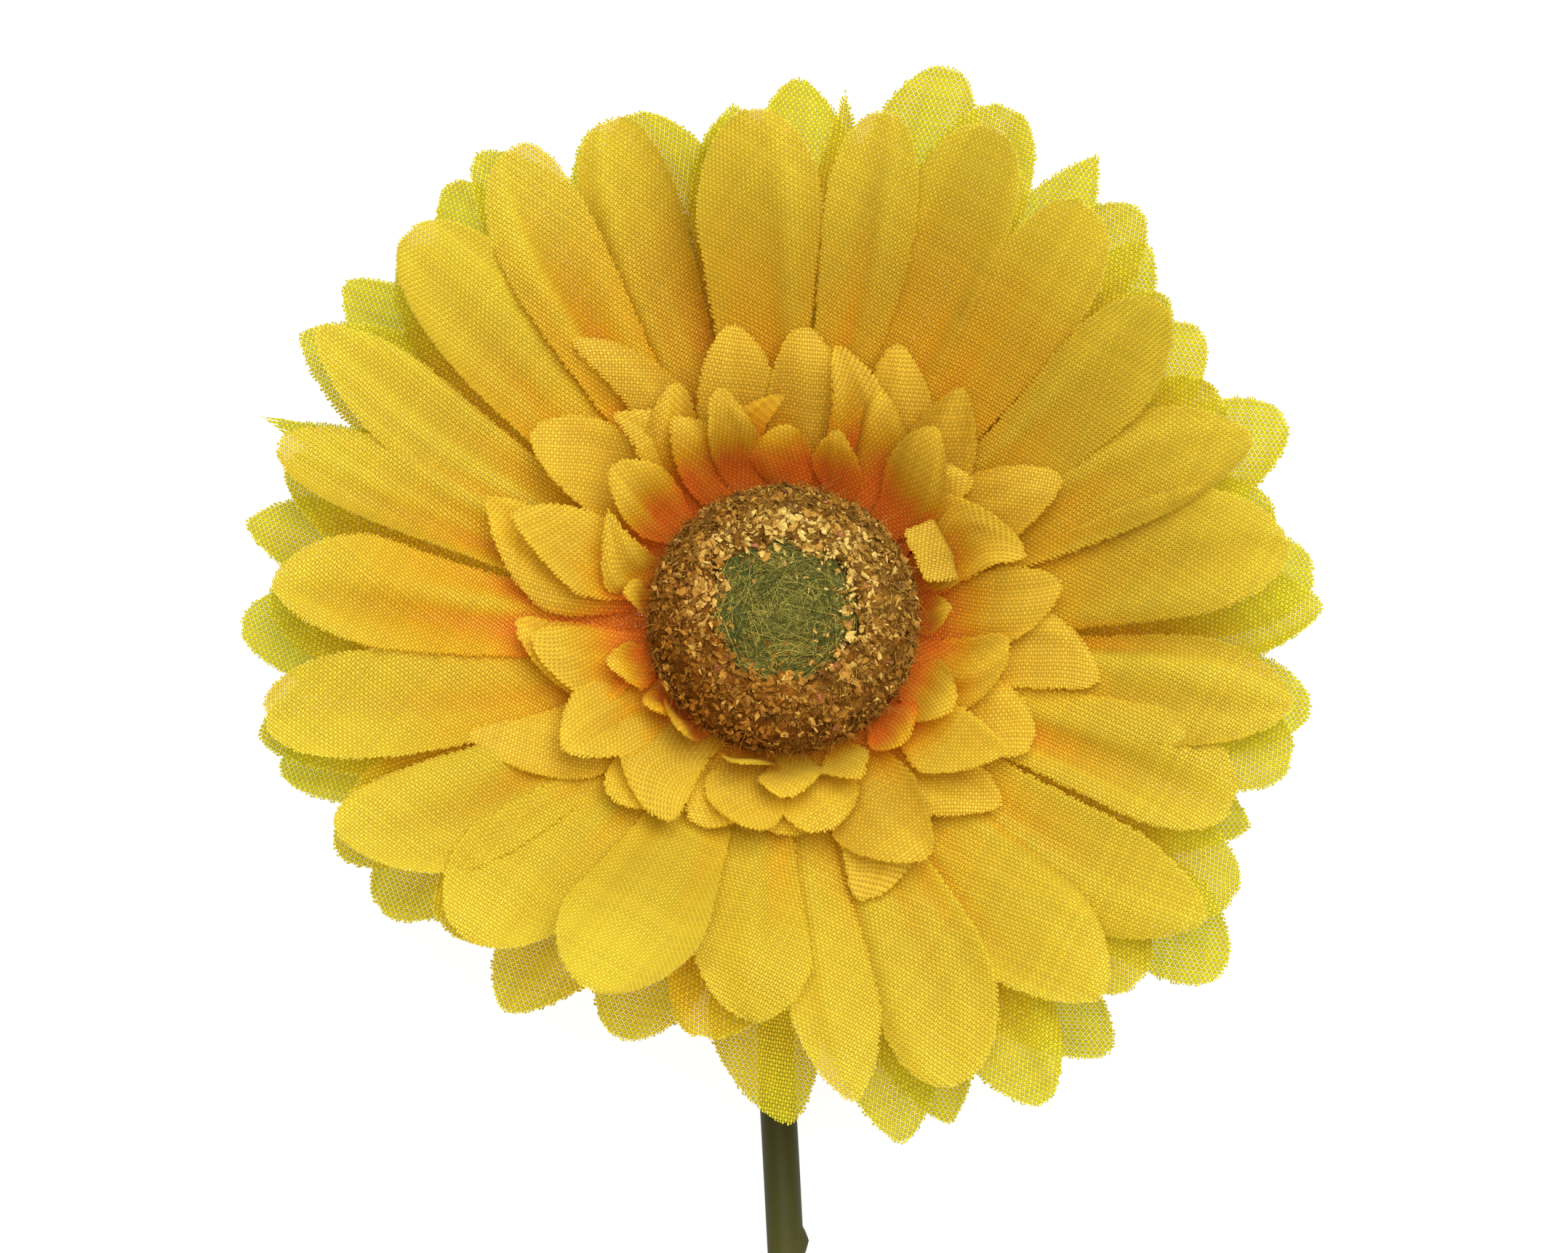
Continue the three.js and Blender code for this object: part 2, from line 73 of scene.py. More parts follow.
def turnsOf(count):
    # Even turns round a circle, in radians
    return np.linspace(0, 2 * np.pi, count, endpoint=False)


def fromHead(points):
    # Head coordinates to the frame's: turned back by the lean about X, then moved to the head's place.
    x, y, z = np.moveaxis(points, -1, 0)
    turned = (
        x,
        y * np.cos(leanAngle) + z * np.sin(leanAngle),
        z * np.cos(leanAngle) - y * np.sin(leanAngle),
    )
    return np.stack(turned, axis=-1) + np.array(head["place"])


def softNoise(points, size, seed=0):
    # Value noise from -1 to 1: each corner of a grid of cubes has a value, blended smoothly inside a cube.
    lowBits = 0x7FFFFFFF
    place = np.asarray(points, float) / size + 100.0
    cell = np.floor(place).astype(np.int64)
    part = place - cell
    part = part * part * (3 - 2 * part)
    total = np.zeros(place.shape[:-1])
    for corner in np.ndindex(2, 2, 2):
        x, y, z = np.moveaxis(cell + np.array(corner), -1, 0)
        # The value: products with large odd numbers, cut to 31 bits and folded twice
        mixed = (x * 374761393 + y * 668265263 + z * 2147483647 + seed * 144665) & lowBits
        mixed = ((mixed ^ (mixed >> 13)) * 1274126177) & lowBits
        value = (mixed ^ (mixed >> 16)) / lowBits
        total += value * np.prod(np.where(np.array(corner) == 1, part, 1 - part), axis=-1)
    return 2 * total - 1


def buildObject(name, points, faceGroups, material, attributes=None, flatGroups=()):
    # points in millimetres, faceGroups arrays of corner numbers, one row for each face
    mesh = bpy.data.meshes.new(name)
    corners = np.concatenate([group.ravel() for group in faceGroups]).astype(np.int32)
    sides = np.concatenate([np.full(len(group), group.shape[1]) for group in faceGroups])
    starts = np.concatenate([[0], np.cumsum(sides)[:-1]]).astype(np.int32)
    smooth = np.concatenate([np.full(len(g), i not in flatGroups) for i, g in enumerate(faceGroups)])
    mesh.vertices.add(len(points))
    mesh.vertices.foreach_set("co", (np.asarray(points) * mm).astype(np.float32).ravel())
    mesh.loops.add(len(corners))
    mesh.loops.foreach_set("vertex_index", corners)
    mesh.polygons.add(len(sides))
    mesh.polygons.foreach_set("loop_start", starts)
    mesh.polygons.foreach_set("use_smooth", smooth)
    mesh.update(calc_edges=True)
    mesh.validate()
    for key, values in (attributes or {}).items():
        kind, field = {3: ("FLOAT_VECTOR", "vector"), 4: ("FLOAT_COLOR", "color")}[values.shape[1]]
        layer = mesh.attributes.new(key, kind, "POINT")
        layer.data.foreach_set(field, values.astype(np.float32).ravel())
    made = bpy.data.objects.new(name, mesh)
    bpy.context.scene.collection.objects.link(made)
    mesh.materials.append(material)
    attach(made, "root")
    return made


def gridQuads(rows, columns, closed=False):
    # The quads of a grid of points held row by row. A closed grid joins its last column to its first.
    row = np.arange(rows - 1)[:, None]
    column = np.arange(columns if closed else columns - 1)[None, :]
    following = (column + 1) % columns
    corners = (
        row * columns + column,
        row * columns + following,
        (row + 1) * columns + following,
        (row + 1) * columns + column,
    )
    return np.stack(corners, axis=-1).reshape(-1, 4)


def closedLoop(rings, columns):
    # The quads of a ring that is closed both round the axis and round its section
    numbers = np.arange(rings * columns).reshape(rings, columns)
    looped = np.concatenate([numbers, numbers[:1]]).ravel()
    return looped[gridQuads(rings + 1, columns, closed=True)]


def thicken(points, quads, thickness):
    # A closed slab: the surface and its twin, half the thickness to each side along the normals, and walls
    # along every edge that only one quad has.
    a, b, c, d = (points[quads[:, k]] for k in range(4))
    faceNormals = np.cross(c - a, d - b)
    normals = np.zeros_like(points)
    for k in range(4):
        np.add.at(normals, quads[:, k], faceNormals)
    count, shift = len(points), unit(normals) * thickness / 2
    both = np.concatenate([points + shift, points - shift])
    starts = quads.ravel()
    ends = np.roll(quads, -1, axis=1).ravel()
    lone = ~np.isin(starts * count + ends, ends * count + starts)
    starts, ends = starts[lone], ends[lone]
    walls = np.stack([ends, starts, starts + count, ends + count], axis=1)
    return both, [quads, quads[:, ::-1] + count, walls]


# Helpers for materials


def addNode(tree, kind, inputs=None, **settings):
    # A shader node. A socket of another node is linked, and any other value is set on its input.
    made = tree.nodes.new("ShaderNode" + kind)
    for key, value in settings.items():
        setattr(made, key, value)
    for key, value in (inputs or {}).items():
        if isinstance(value, bpy.types.NodeSocket):
            tree.links.new(value, made.inputs[key])
        else:
            made.inputs[key].default_value = value
    return made


def calc(tree, operation, *values):
    # One operation on numbers or sockets, such as a divided by b or the sine of a
    return addNode(tree, "Math", dict(enumerate(values)), operation=operation).outputs[0]


def plus(tree, a, b):
    # The sum of a and b
    return calc(tree, "ADD", a, b)


def times(tree, a, b):
    # The product of a and b
    return calc(tree, "MULTIPLY", a, b)


def centred(tree, value, size):
    # A value from 0 to 1 made to swing round 0
    return times(tree, calc(tree, "SUBTRACT", value, 0.5), size)


def between(tree, share, a, b):
    # A number from a at share 0 to b at share 1
    return addNode(tree, "Mix", {0: share, 2: a, 3: b}, data_type="FLOAT").outputs[0]


def mapped(tree, value, low, high, newLow=0.0, newHigh=1.0, smooth=False):
    # A number carried from the range low to high to the range newLow to newHigh, and kept inside it
    inputs = {0: value, 1: low, 2: high, 3: newLow, 4: newHigh}
    kind = "SMOOTHSTEP" if smooth else "LINEAR"
    return addNode(tree, "MapRange", inputs, interpolation_type=kind, clamp=True).outputs[0]


def blend(tree, share, a, b, blendType="MIX"):
    # A colour from a at share 0 to b at share 1, or to b laid over a in another way
    inputs = {0: share, 6: a, 7: b}
    return addNode(tree, "Mix", inputs, data_type="RGBA", blend_type=blendType).outputs[2]


def tinted(tree, colour, tint):
    # A colour times a tint, channel by channel
    return blend(tree, 1.0, colour, tint, "MULTIPLY")


def vectorParts(tree, name):
    # The three numbers of a vector attribute
    vector = addNode(tree, "Attribute", attribute_name=name).outputs["Vector"]
    return tuple(addNode(tree, "SeparateXYZ", {0: vector}).outputs)


def toneAndPlace(tree):
    # A piece's own colours and its Object coordinates
    tone = addNode(tree, "Attribute", attribute_name="tone").outputs["Color"]
    return tone, objectPlace(tree)


def objectPlace(tree):
    # Object coordinates, in metres
    return addNode(tree, "TexCoord").outputs["Object"]


def noise(tree, vector, scale, detail=2.0, roughness=0.5):
    # Smooth noise round 0.5: scale lumps to the unit, and detail more rounds at twice the scale each
    inputs = {"Vector": vector, "Scale": scale, "Detail": detail, "Roughness": roughness}
    return addNode(tree, "TexNoise", inputs).outputs[0]


def ramp(tree, share, stops):
    # A colour read off (share, colour) stops, in straight lines between them
    made = addNode(tree, "ValToRGB", {0: share})
    elements = made.color_ramp.elements
    while len(elements) < len(stops):
        elements.new(0.5)
    for element, (position, colour) in zip(elements, stops):
        element.position = position
        element.color = (*colour, 1)
    return made.outputs[0]


def newMaterial(name):
    # An empty material and its node tree
    material = bpy.data.materials.new(name)
    material.use_nodes = True
    material.node_tree.nodes.clear()
    return material, material.node_tree


def finished(material, shader):
    # The material with a shader as its surface
    addNode(material.node_tree, "OutputMaterial", {"Surface": shader})
    return material


def principled(tree, inputs):
    # The principled surface with the named inputs set
    return addNode(tree, "BsdfPrincipled", inputs).outputs[0]


def mixShader(tree, share, a, b):
    # Shader a at share 0 to shader b at share 1
    return addNode(tree, "MixShader", {0: share, 1: a, 2: b}).outputs[0]


def bump(tree, height, distance, strength=1.0):
    # Normals as if the surface rose by height times distance, weakened by strength
    return addNode(tree, "Bump", {"Height": height, "Distance": distance, "Strength": strength}).outputs[0]


# Cloth

cloth = {
    "thickness": 0.16,  # mm
    "warpPitch": 0.272,  # mm from thread to thread
    "weftPitch": 0.384,
    "wander": 0.35,  # mm that threads stray
    "fringe": 0.42,  # mm of loose thread ends at the cut edge
    "mottle": 0.22,  # how unevenly the dye took
    "golden": (0.95, 0.56, 0.03),
    "orange": (1.0, 0.4, 0.035),
    "red": (1.0, 0.28, 0.03),
    "shaded": (0.82, 0.74, 0.64),  # painted shade: the deeper gold that the tint blends towards
    "passedGamma": 0.66,  # light passes two faces, so each tints it less than the dye's own colour
    # yellow: the cloth's own dye, and the collar's is lighter, painted light that makes up for the shade in
    # the
    # bowl round the disc. poreEdge: the sine under which both threads leave a hole. dark: the painted shade
    # of
    # the dips between threads. checks: how much lighter than the mean the warp looks, a painted highlight,
    # and
    # how much darker the weft, painted shade. translucency: the share of light that passes a face, and
    # passed:
    # its tint.
    "kinds": {
        "petals": {
            "yellow": (0.88, 0.66, 0.055), "poreEdge": 0.52, "dark": 0.53, "floatLight": 0.1,
            "translucency": 0.48, "passed": (1.09, 1.21, 1.0),
        },
        "back": {
            "yellow": (0.84, 0.665, 0.04), "poreEdge": 0.48, "dark": 0.47, "floatLight": 0.14,
            "translucency": 0.64, "passed": (1.1, 1.31, 1.0),
        },
        "collar": {
            "yellow": (0.95, 0.68, 0.07), "poreEdge": 0.44, "dark": 0.64, "floatLight": 0.1,
            "translucency": 0.56, "passed": (1.09, 1.21, 1.0),
        },
    },
}


def clothMaterial(name, kind):
    # Plain weave from two sines: where their product is positive the warp thread lies on top, elsewhere the
    # weft. Both sines are small in the holes between the threads. The attribute cloth holds the place on
    # the flat cloth in mm and the distance in from the cut edge, and grain holds the dye, which carries
    # some painted shade too, the tint, which is painted shade with a random deeper tone, and the family of
    # threads that sticks out at the edge.
    material, tree = newMaterial(name)
    across, down, edge = vectorParts(tree, "cloth")
    dye, tint, family = vectorParts(tree, "grain")
    flat = addNode(tree, "CombineXYZ", {0: across, 1: down, 2: 0.0}).outputs[0]
    wander = centred(tree, noise(tree, flat, 0.35, 1.0), cloth["wander"])
    warpPlace = calc(tree, "DIVIDE", plus(tree, across, wander), cloth["warpPitch"])
    weftPlace = calc(tree, "DIVIDE", calc(tree, "SUBTRACT", down, wander), cloth["weftPitch"])
    warpWave, weftWave = (calc(tree, "SINE", times(tree, at, np.pi)) for at in (warpPlace, weftPlace))
    warp, weft = (calc(tree, "ABSOLUTE", wave) for wave in (warpWave, weftWave))
    over = mapped(tree, times(tree, warpWave, weftWave), -0.3, 0.3, smooth=True)
    height = between(tree, over, weft, warp)

    # Each thread has a tone of its own and the dips get painted shade. Where the warp lies over the weft it
    # gets a painted highlight, and elsewhere painted shade.
    warpShade, weftShade = (
        addNode(tree, "TexWhiteNoise", {"W": calc(tree, "FLOOR", at)}, noise_dimensions="1D").outputs[0]
        for at in (warpPlace, weftPlace)
    )
    light = mapped(tree, height, 0.25, 1.0, kind["dark"], 1.1)
    light = times(tree, light, mapped(tree, between(tree, over, weftShade, warpShade), 0, 1, 0.9, 1.06))
    light = times(tree, light, mapped(tree, over, 0, 1, 0.95 - kind["floatLight"], 0.95 + kind["floatLight"]))
    shade = addNode(tree, "CombineColor", {0: light, 1: light, 2: light}).outputs[0]

    # Dye: red at the root, then orange and golden, and yellow further out.
    mottle = centred(tree, noise(tree, flat, 0.45, 3.0), cloth["mottle"])
    stops = [(0.0, kind["yellow"]), (0.38, cloth["golden"]), (0.72, cloth["orange"]), (1.0, cloth["red"])]
    colour = ramp(tree, plus(tree, dye, mottle), stops)
    # The tint blends the colour towards the deeper gold of shaded: painted shade.
    dyed = blend(tree, mapped(tree, tint, 0.0, 1.0), colour, tinted(tree, colour, (*cloth["shaded"], 1)))

    # Holes between the threads, and the frayed edge, where only the threads that run outwards are left.
    hole = calc(tree, "LESS_THAN", calc(tree, "MAXIMUM", warp, weft), kind["poreEdge"])
    endStart = times(tree, between(tree, family, warpShade, weftShade), cloth["fringe"] * 0.8)
    onThread = calc(tree, "GREATER_THAN", between(tree, family, warp, weft), 0.55)
    loose = times(tree, onThread, calc(tree, "GREATER_THAN", edge, endStart))
    inside = calc(tree, "GREATER_THAN", edge, cloth["fringe"])
    solid = between(tree, inside, loose, calc(tree, "SUBTRACT", 1.0, hole))

    normal = bump(tree, height, 0.00005, 0.55)
    surface = {
        "Base Color": tinted(tree, dyed, shade),
        "Roughness": mapped(tree, height, 0, 1, 0.75, 0.5),
        "Sheen Weight": 0.04,
        "Sheen Roughness": 0.4,
        "Specular IOR Level": 0.14,
        "Normal": normal,
    }
    passed = addNode(tree, "Gamma", {"Color": dyed, "Gamma": cloth["passedGamma"]}).outputs[0]
    passed = tinted(tree, tinted(tree, passed, (*kind["passed"], 1)), shade)
    through = addNode(tree, "BsdfTranslucent", {"Color": passed, "Normal": normal}).outputs[0]
    threads = mixShader(tree, kind["translucency"], principled(tree, surface), through)
    clear = addNode(tree, "BsdfTransparent").outputs[0]
    return finished(material, mixShader(tree, solid, clear, threads))


# Petals. Each is [angle of its tip, its reach, share of the full width, extra lift in degrees], as seen
# from straight above: the angle in degrees clockwise from +Y and the reach in mm from the axis. Where the
# share or the lift is left out, it is 1 or 0.

backPetals = [
    [1.5, 56.7], [16.2, 60.1], [32.3, 58.6], [44.6, 54.2], [56, 52.3], [67.3, 55.3], [85, 54.2],
    [99.6, 54.2], [113.5, 51.6], [128.1, 56.8], [144.2, 54.8], [160.8, 53.5], [181.5, 50.9],
    [200.8, 45.2], [217.7, 48.3], [236.5, 50.1], [253, 53.1], [270.4, 55], [281.9, 55.6],
    [292.3, 57.5, 0.6], [308, 57], [323.5, 57.3], [339.2, 55], [353.5, 54.1],
]
middlePetals = [
    [7.3, 55.3, 0.6], [23.5, 57.8], [38.8, 55.8], [51, 51.3], [62, 50], [76, 51], [88.8, 54.5],
    [104.2, 53.1], [121.9, 53.3], [134, 51], [151.2, 55.3], [166.9, 54.1], [188, 42.8],
    [207.7, 41.6], [226, 46], [244.2, 50.6], [258.5, 54.1], [272, 52], [287, 53], [301.5, 57.2],
    [314, 54], [328.5, 57.5], [343.5, 54.7, 1.15], [355, 52.6, 1.1],
]
frontPetals = [
    [10.5, 53.1, 0.74], [22.7, 54.6, 0.83], [36.5, 52.4, 0.84], [49.2, 50.1, 0.82], [66.5, 50.8, 0.9],
    [80, 51.4], [98.8, 51.9, 0.93], [111.5, 48.9, 0.97], [126.9, 51.9, 0.9], [140.5, 49.6, 1.03],
    [159.5, 49.9, 1.0], [172, 49, 0.72], [185, 40.6, 0.98], [207, 41.7, 1.12], [225, 45.2, 1.1],
    [242, 49.4], [260, 53, 0.9], [275.4, 51.6], [288.8, 54.1, 0.72], [302.3, 55.8, 0.72],
    [317.3, 55, 0.95], [328.8, 55.8, 0.85], [341.2, 54.5, 0.84], [357, 52.6, 1.03],
]
lowCollarPetals = [
    [4, 30.3, 1, 3], [21.4, 30.8, 1, 3], [37, 30], [63, 31.7], [82, 28.4], [96.2, 32.5, 1.3, -6],
    [114.5, 28.1], [134.8, 28.8, 1.1, -4], [162.9, 29.6, 1.25, -6], [179.8, 21.9, 1, -4],
    [201, 22.5, 1, -2], [224, 25], [247.5, 33.8, 1, -6], [268, 27], [291.4, 32.5, 1.2, -4],
    [307.8, 32.1, 1.2], [323.9, 35.8, 0.7, -4], [349.5, 30.9, 1, 3],
]
middleCollarPetals = [
    [11.8, 28.7, 1.1, -3], [25.7, 25.4], [52.3, 24, 1, -3], [74, 25.5, 1.2], [97, 23], [122, 26.3],
    [148.4, 28.2, 1.3, -8], [170, 22, 1.1], [190, 21.5, 1.1], [211.7, 23.8, 1.3], [239.6, 25.9, 1.2, -4],
    [265.2, 25.5, 1, -4], [294.2, 29.5, 1.1, -4], [322.2, 27.2], [335, 26.8, 1, -2],
    [357.6, 23.2, 1, -4],
]
highCollarPetals = [
    [358, 20], [19, 20.2, 0.8, 4], [38.5, 25, 1.15], [60, 17.4, 1, 14], [88, 17, 0.6, 6], [117, 19.5],
    [137.5, 17.6], [158, 18, 0.8], [179.8, 18.3], [202, 15.5, 0.9, 20], [220, 15.5, 0.9, 20],
    [238, 16.5, 0.6, 8], [257.5, 18.5, 0.8], [280, 16.5, 0.6, 8], [300, 21, 0.9], [314.6, 23.4, 1.1, -4],
    [333.4, 23.5, 1, -4], [344.8, 24.6, 1.1, 3],
]

petalForm = {
    "standingMiddle": 203,  # degrees: the petals round this side stand up more
    "standingHalfWidth": 42,
    "shadeMiddle": 25,  # degrees: the petals round this side rise more steeply and so face the light less
    "tipSquareness": 2.1,
    "rootWidth": 0.44,  # its width at the root if it had the room, as a share of the full width
    "rootShare": 0.43,  # the most of its space that half a petal takes at the root
    "rootTurnShare": 0.6,  # how much of a petal's turn away from even spacing its root shares
    "ridges": ((1.3, 1.1), (2.4, 0.65), (3.7, 0.4)),  # half waves across the half width, and strength
    "hem": 8,  # degrees that the cut edges turn up
    "valleyWarmShade": 0.16,  # painted shade: the pressed valleys look more orange
    "valleyShadeTint": 0.28,  # painted shade: and a deeper gold
    # How golden the inner parts get: painted shade.
    "goldShade": 0.4,
    "fineSteps": 240,
}

# pitch: degrees above the head's plane at a petal's root, middle and tip. cup: how far its sides rise, in
# degrees at the edge. ridges: the slope of the pressed ridges. tilt: degrees that each petal leans to
# its right, so that neighbours overlap like shingles. share: the most of its space that half a petal takes
# beyond its root. points: how pointed tips may get. grain: the way the weave runs on the sheet. tip: the
# share of the length where the rounded tip begins, and body: where a petal has its full width. dye: the
# radii over which the red dye fades, and gold: those over which a golden painted shade fades, which is
# deepest on the inner parts under the layers above and down in the bowl. shadeLift, shadeCurl and
# shadeTint: how much steeper and more curled the petals round the shaded side are, and how much more
# painted shade they get. legs: petals that reach the table. touches: what single petals, named by their
# angles, do in their own way.
longPetals = {
    "tip": 0.7, "body": 0.8, "gold": (34, 54), "tilt": -3, "bows": 1.2, "share": 0.66, "legs": (),
    "slot": "petal_cloth", "cloth": "back",
}
collarPetals = {
    "tip": 0.52, "body": 0.55, "cup": 11, "ridges": 19, "tilt": -5, "share": 0.66, "points": 1.0,
    "shadeLift": 0, "shadeCurl": 0, "shadeTint": 0.9, "legs": (), "slot": "collar_cloth", "cloth": "collar",
}
# Among the touches, the tint sets how much painted shade a petal gets: more on the top collars, less on the
# bottom petals and collars. The shift of the dye gives the dye's own orange patches on the front petals
# round the left and the top, painted shade on the top collars, and painted light that makes up for the
# shade on the bottom petals and collars.
sheets = [
    longPetals | {
        "name": "cloth_back", "node": "petals_back", "petals": backPetals,
        "pitch": (0, -2, -7), "standing": 8, "width": 12.6, "cup": 9, "ridges": 12,
        "shadeLift": 2, "shadeCurl": 6, "shadeTint": 0.1, "points": 0.9, "grain": 12, "rows": 40,
        "columns": 17, "dye": (13, 22), "legs": (32.3, 323.5), "seed": 3,
        "touches": {"point": {292.3: 1.8, 32.3: 1.2}},
    },
    longPetals | {
        "name": "cloth_middle", "node": "petals_middle", "petals": middlePetals,
        "pitch": (2, 17, 2), "standing": 15, "width": 13.2, "cup": 11, "ridges": 17,
        "shadeLift": 5, "shadeCurl": 12, "shadeTint": 0.4, "points": 0.8, "share": 0.68, "grain": -27,
        "rows": 44, "columns": 19, "dye": (13, 24), "seed": 5,
        "touches": {"point": {7.3: 1.6}},
    },
    longPetals | {
        "name": "cloth_front", "node": "petals_front", "petals": frontPetals,
        "pitch": (5, 33, 7), "standing": 24, "width": 13.8, "cup": 12, "ridges": 22,
        "shadeLift": 7, "shadeCurl": 20, "shadeTint": 0.95, "points": 0.7, "tip": 0.71, "gold": (18, 44),
        "grain": 31, "rows": 48, "columns": 27, "dye": (13, 30), "cloth": "petals", "seed": 8,
        "touches": {
            "point": {22.7: -0.4, 36.5: -0.4, 66.5: 0.6, 328.8: -0.3, 357: 0.1, 159.5: 0.0},
            "rightCurl": {288.8: 26, 260: 24, 172: -28},
            "tilt": {126.9: 5, 341.2: -2},
            "lift": {341.2: -3, 172: -2},
            "dyeAndShadeShift": {
                317.3: -2, 328.8: -7, 341.2: -4, 10.5: -2, 22.7: -5, 36.5: -5, 260: -2, 275.4: -8,
                288.8: -4, 159.5: 3, 172: 5, 185: 7, 207: 8, 225: 5, 242: 2,
            },
            "tipCurl": {185: -45},
            "tint": {159.5: 0, 172: -0.2, 185: -0.3, 207: -0.3, 225: -0.1},
            "ridging": {98.8: 1.5, 275.4: 1.6, 242: 1.5, 260: 1.3, 140.5: 1.4, 111.5: 1.3},
        },
    },
    collarPetals | {
        "name": "cloth_collar_low", "node": "collar_low", "petals": lowCollarPetals,
        "pitch": (7, 50, 14), "standing": 4, "width": 8.8, "tilt": -4, "gold": (12, 24),
        "grain": 6, "bows": 4.5, "rows": 30, "columns": 19, "dye": (13, 26), "seed": 11,
        "touches": {
            "dyeAndShadeShift": {162.9: 3, 179.8: 5, 201: 5, 224: 4, 247.5: 1},
            "point": {162.9: 0.0, 179.8: 0.1, 201: 0.1, 224: 0.2},
            "ridging": {179.8: 0.5, 201: 0.5, 224: 0.6},
            "tint": {162.9: -0.1, 179.8: -0.3, 201: -0.3, 224: -0.2},
        },
    },
    collarPetals | {
        "name": "cloth_collar_middle", "node": "collar_middle", "petals": middleCollarPetals,
        "pitch": (10, 68, 20), "standing": 2, "width": 8.3,
        "gold": (12, 22), "grain": -35, "bows": 6, "rows": 28, "columns": 19, "dye": (13, 24), "seed": 13,
        "touches": {
            "dyeAndShadeShift": {
                148.4: 2, 170: 4, 190: 5, 211.7: 6, 239.6: 2, 357.6: -3, 11.8: -4, 25.7: -3, 335: -3,
                322.2: -2,
            },
            "tint": {357.6: 1.5, 11.8: 1.3, 25.7: 1.3, 335: 1.3, 170: -0.3, 190: -0.3, 211.7: -0.3},
            "point": {148.4: 0.4, 170: 0.1, 190: 0.1, 211.7: 0.05},
            "ridging": {170: 0.5, 190: 0.5, 211.7: 0.35},
        },
    },
    collarPetals | {
        "name": "cloth_collar_high", "node": "collar_high", "petals": highCollarPetals,
        "pitch": (15, 92, 24), "standing": 0, "width": 7.0,
        "cup": 12, "ridges": 18, "share": 0.64, "gold": (12, 20), "grain": 40, "bows": 4.5, "rows": 26,
        "columns": 17, "dye": (13, 21), "seed": 17,
        "touches": {
            "lift": {60: -14},
            "fold": {60: 125},
            "length": {60: 12.5},
            "point": {60: -1.5},
            "tilt": {300: -5, 60: 0},
            "dyeAndShadeShift": {358: -3, 19: -3, 333.4: -4, 344.8: -4, 314.6: -3, 38.5: -3, 158: 3, 179.8: 4},
            "tint": {358: 1.5, 19: 1.5, 333.4: 1.2, 344.8: 1.5, 38.5: 1.2, 158: -0.2, 179.8: -0.3},
            "ridging": {158: 0.6, 179.8: 0.5},
        },
    },
]
# Each layer rests on the one before it, the first on the calyx, and lies one step nearer to the top.
for order, sheet in enumerate(sheets):
    sheet["depth"] = len(sheets) - 1 - order
    sheet["rests"] = (sheets[order - 1]["name"] if order else "calyx_cup",)


def angleGap(start, end):
    # Degrees clockwise from start to end
    return (end - start) % 360


def runningSum(steps, axis):
    # The sum of all the steps so far, from zero on
    start = np.zeros_like(np.take(steps, [0], axis))
    return np.concatenate([start, np.cumsum(steps, axis)], axis)


def turnedOut(angle, outward, side):
    # Outward along an angle, clockwise from +Y, and sideways to the right of that way, as x and y
    sine, cosine = np.sin(angle), np.cos(angle)
    return outward * sine + side * cosine, outward * cosine - side * sine


def drawHabits(sheet):
    # What makes each petal its own, drawn once for a layer: arrays with one value for each petal, shaped to
    # meet grids of petals, rows and columns.
    rng = np.random.default_rng(sheet["seed"])
    angles = [petal[0] for petal in sheet["petals"]]
    count = len(angles)
    shaded = np.maximum(0, np.cos(np.radians(np.array(angles) - petalForm["shadeMiddle"])))
    habits = {
        "tilt": rng.normal(0.8, 0.9, count),
        "cup": rng.uniform(-0.5, 1.6, count),
        "ridging": rng.uniform(0.75, 1.35, count),
        "ridgeSlopes": rng.uniform(0.3, 1.0, (3, count)),
        "ridgePhases": rng.uniform(0, 2 * np.pi, (3, count)),
        "ridgeDrifts": rng.normal(0, 1.6, (3, count)),
        "bow": rng.normal(0, sheet["bows"], count),
        "wave": rng.uniform(1, 4, count),
        "wavePhase": rng.uniform(0, 2 * np.pi, count),
        "leftCurl": rng.normal(0, 12, count),
        "rightCurl": rng.normal(0, 12, count),
        "tipCurl": rng.normal(-4, 8, count) + sheet["shadeCurl"] * shaded,
        "skew": rng.normal(0, 0.16, count),
        "point": rng.uniform(sheet["points"] - 1, sheet["points"], count),
        "lift": rng.normal(0, 1.5, count) + sheet["shadeLift"] * shaded,
        "fold": np.zeros(count),
        "length": np.zeros(count),
        # The tint: a random deeper tone, and painted shade round the shaded side.
        "tint": rng.uniform(0, 0.5, count) + sheet["shadeTint"] * shaded,
        "dyeAndShadeShift": rng.normal(0, 0.9, count),
    }
    for name, changes in sheet["touches"].items():
        for angle, value in changes.items():
            habits[name][angles.index(angle)] = value
    return {name: values[..., None, None] for name, values in habits.items()}


def rowShares(rows, tipStart):
    # Even rows up to the tip, then closer and closer ones by a sine, so that the end comes out round
    body = int(rows * 0.6 * tipStart / 0.75)
    even = np.linspace(0, tipStart, body, endpoint=False)
    turn = np.linspace(0, np.pi / 2, rows - body)
    return np.concatenate([even, tipStart + (1 - tipStart) * np.sin(turn)])


def pitchAlong(sheet, habits, lift, along):
    # A petal's pitch in radians: a blend of three pitches by (1-t)^2, 2t(1-t) and t^2, with its lift, a
    # wave, the curl of its tip and a fold
    rest = 1 - along
    rootPitch, middlePitch, tipPitch = sheet["pitch"]
    plain = rest**2 * rootPitch + 2 * rest * along * middlePitch + along**2 * tipPitch
    wave = habits["wave"] * np.sin(7 * along + habits["wavePhase"])
    curl = habits["tipCurl"] * smoothStep(along, 0.6, 1.0)
    bent = wave + curl + habits["fold"] * smoothStep(along, 0.62, 0.74)
    return np.radians(plain + lift * np.minimum(1, 3 * along) + bent * smoothStep(along, 0.1, 0.5))


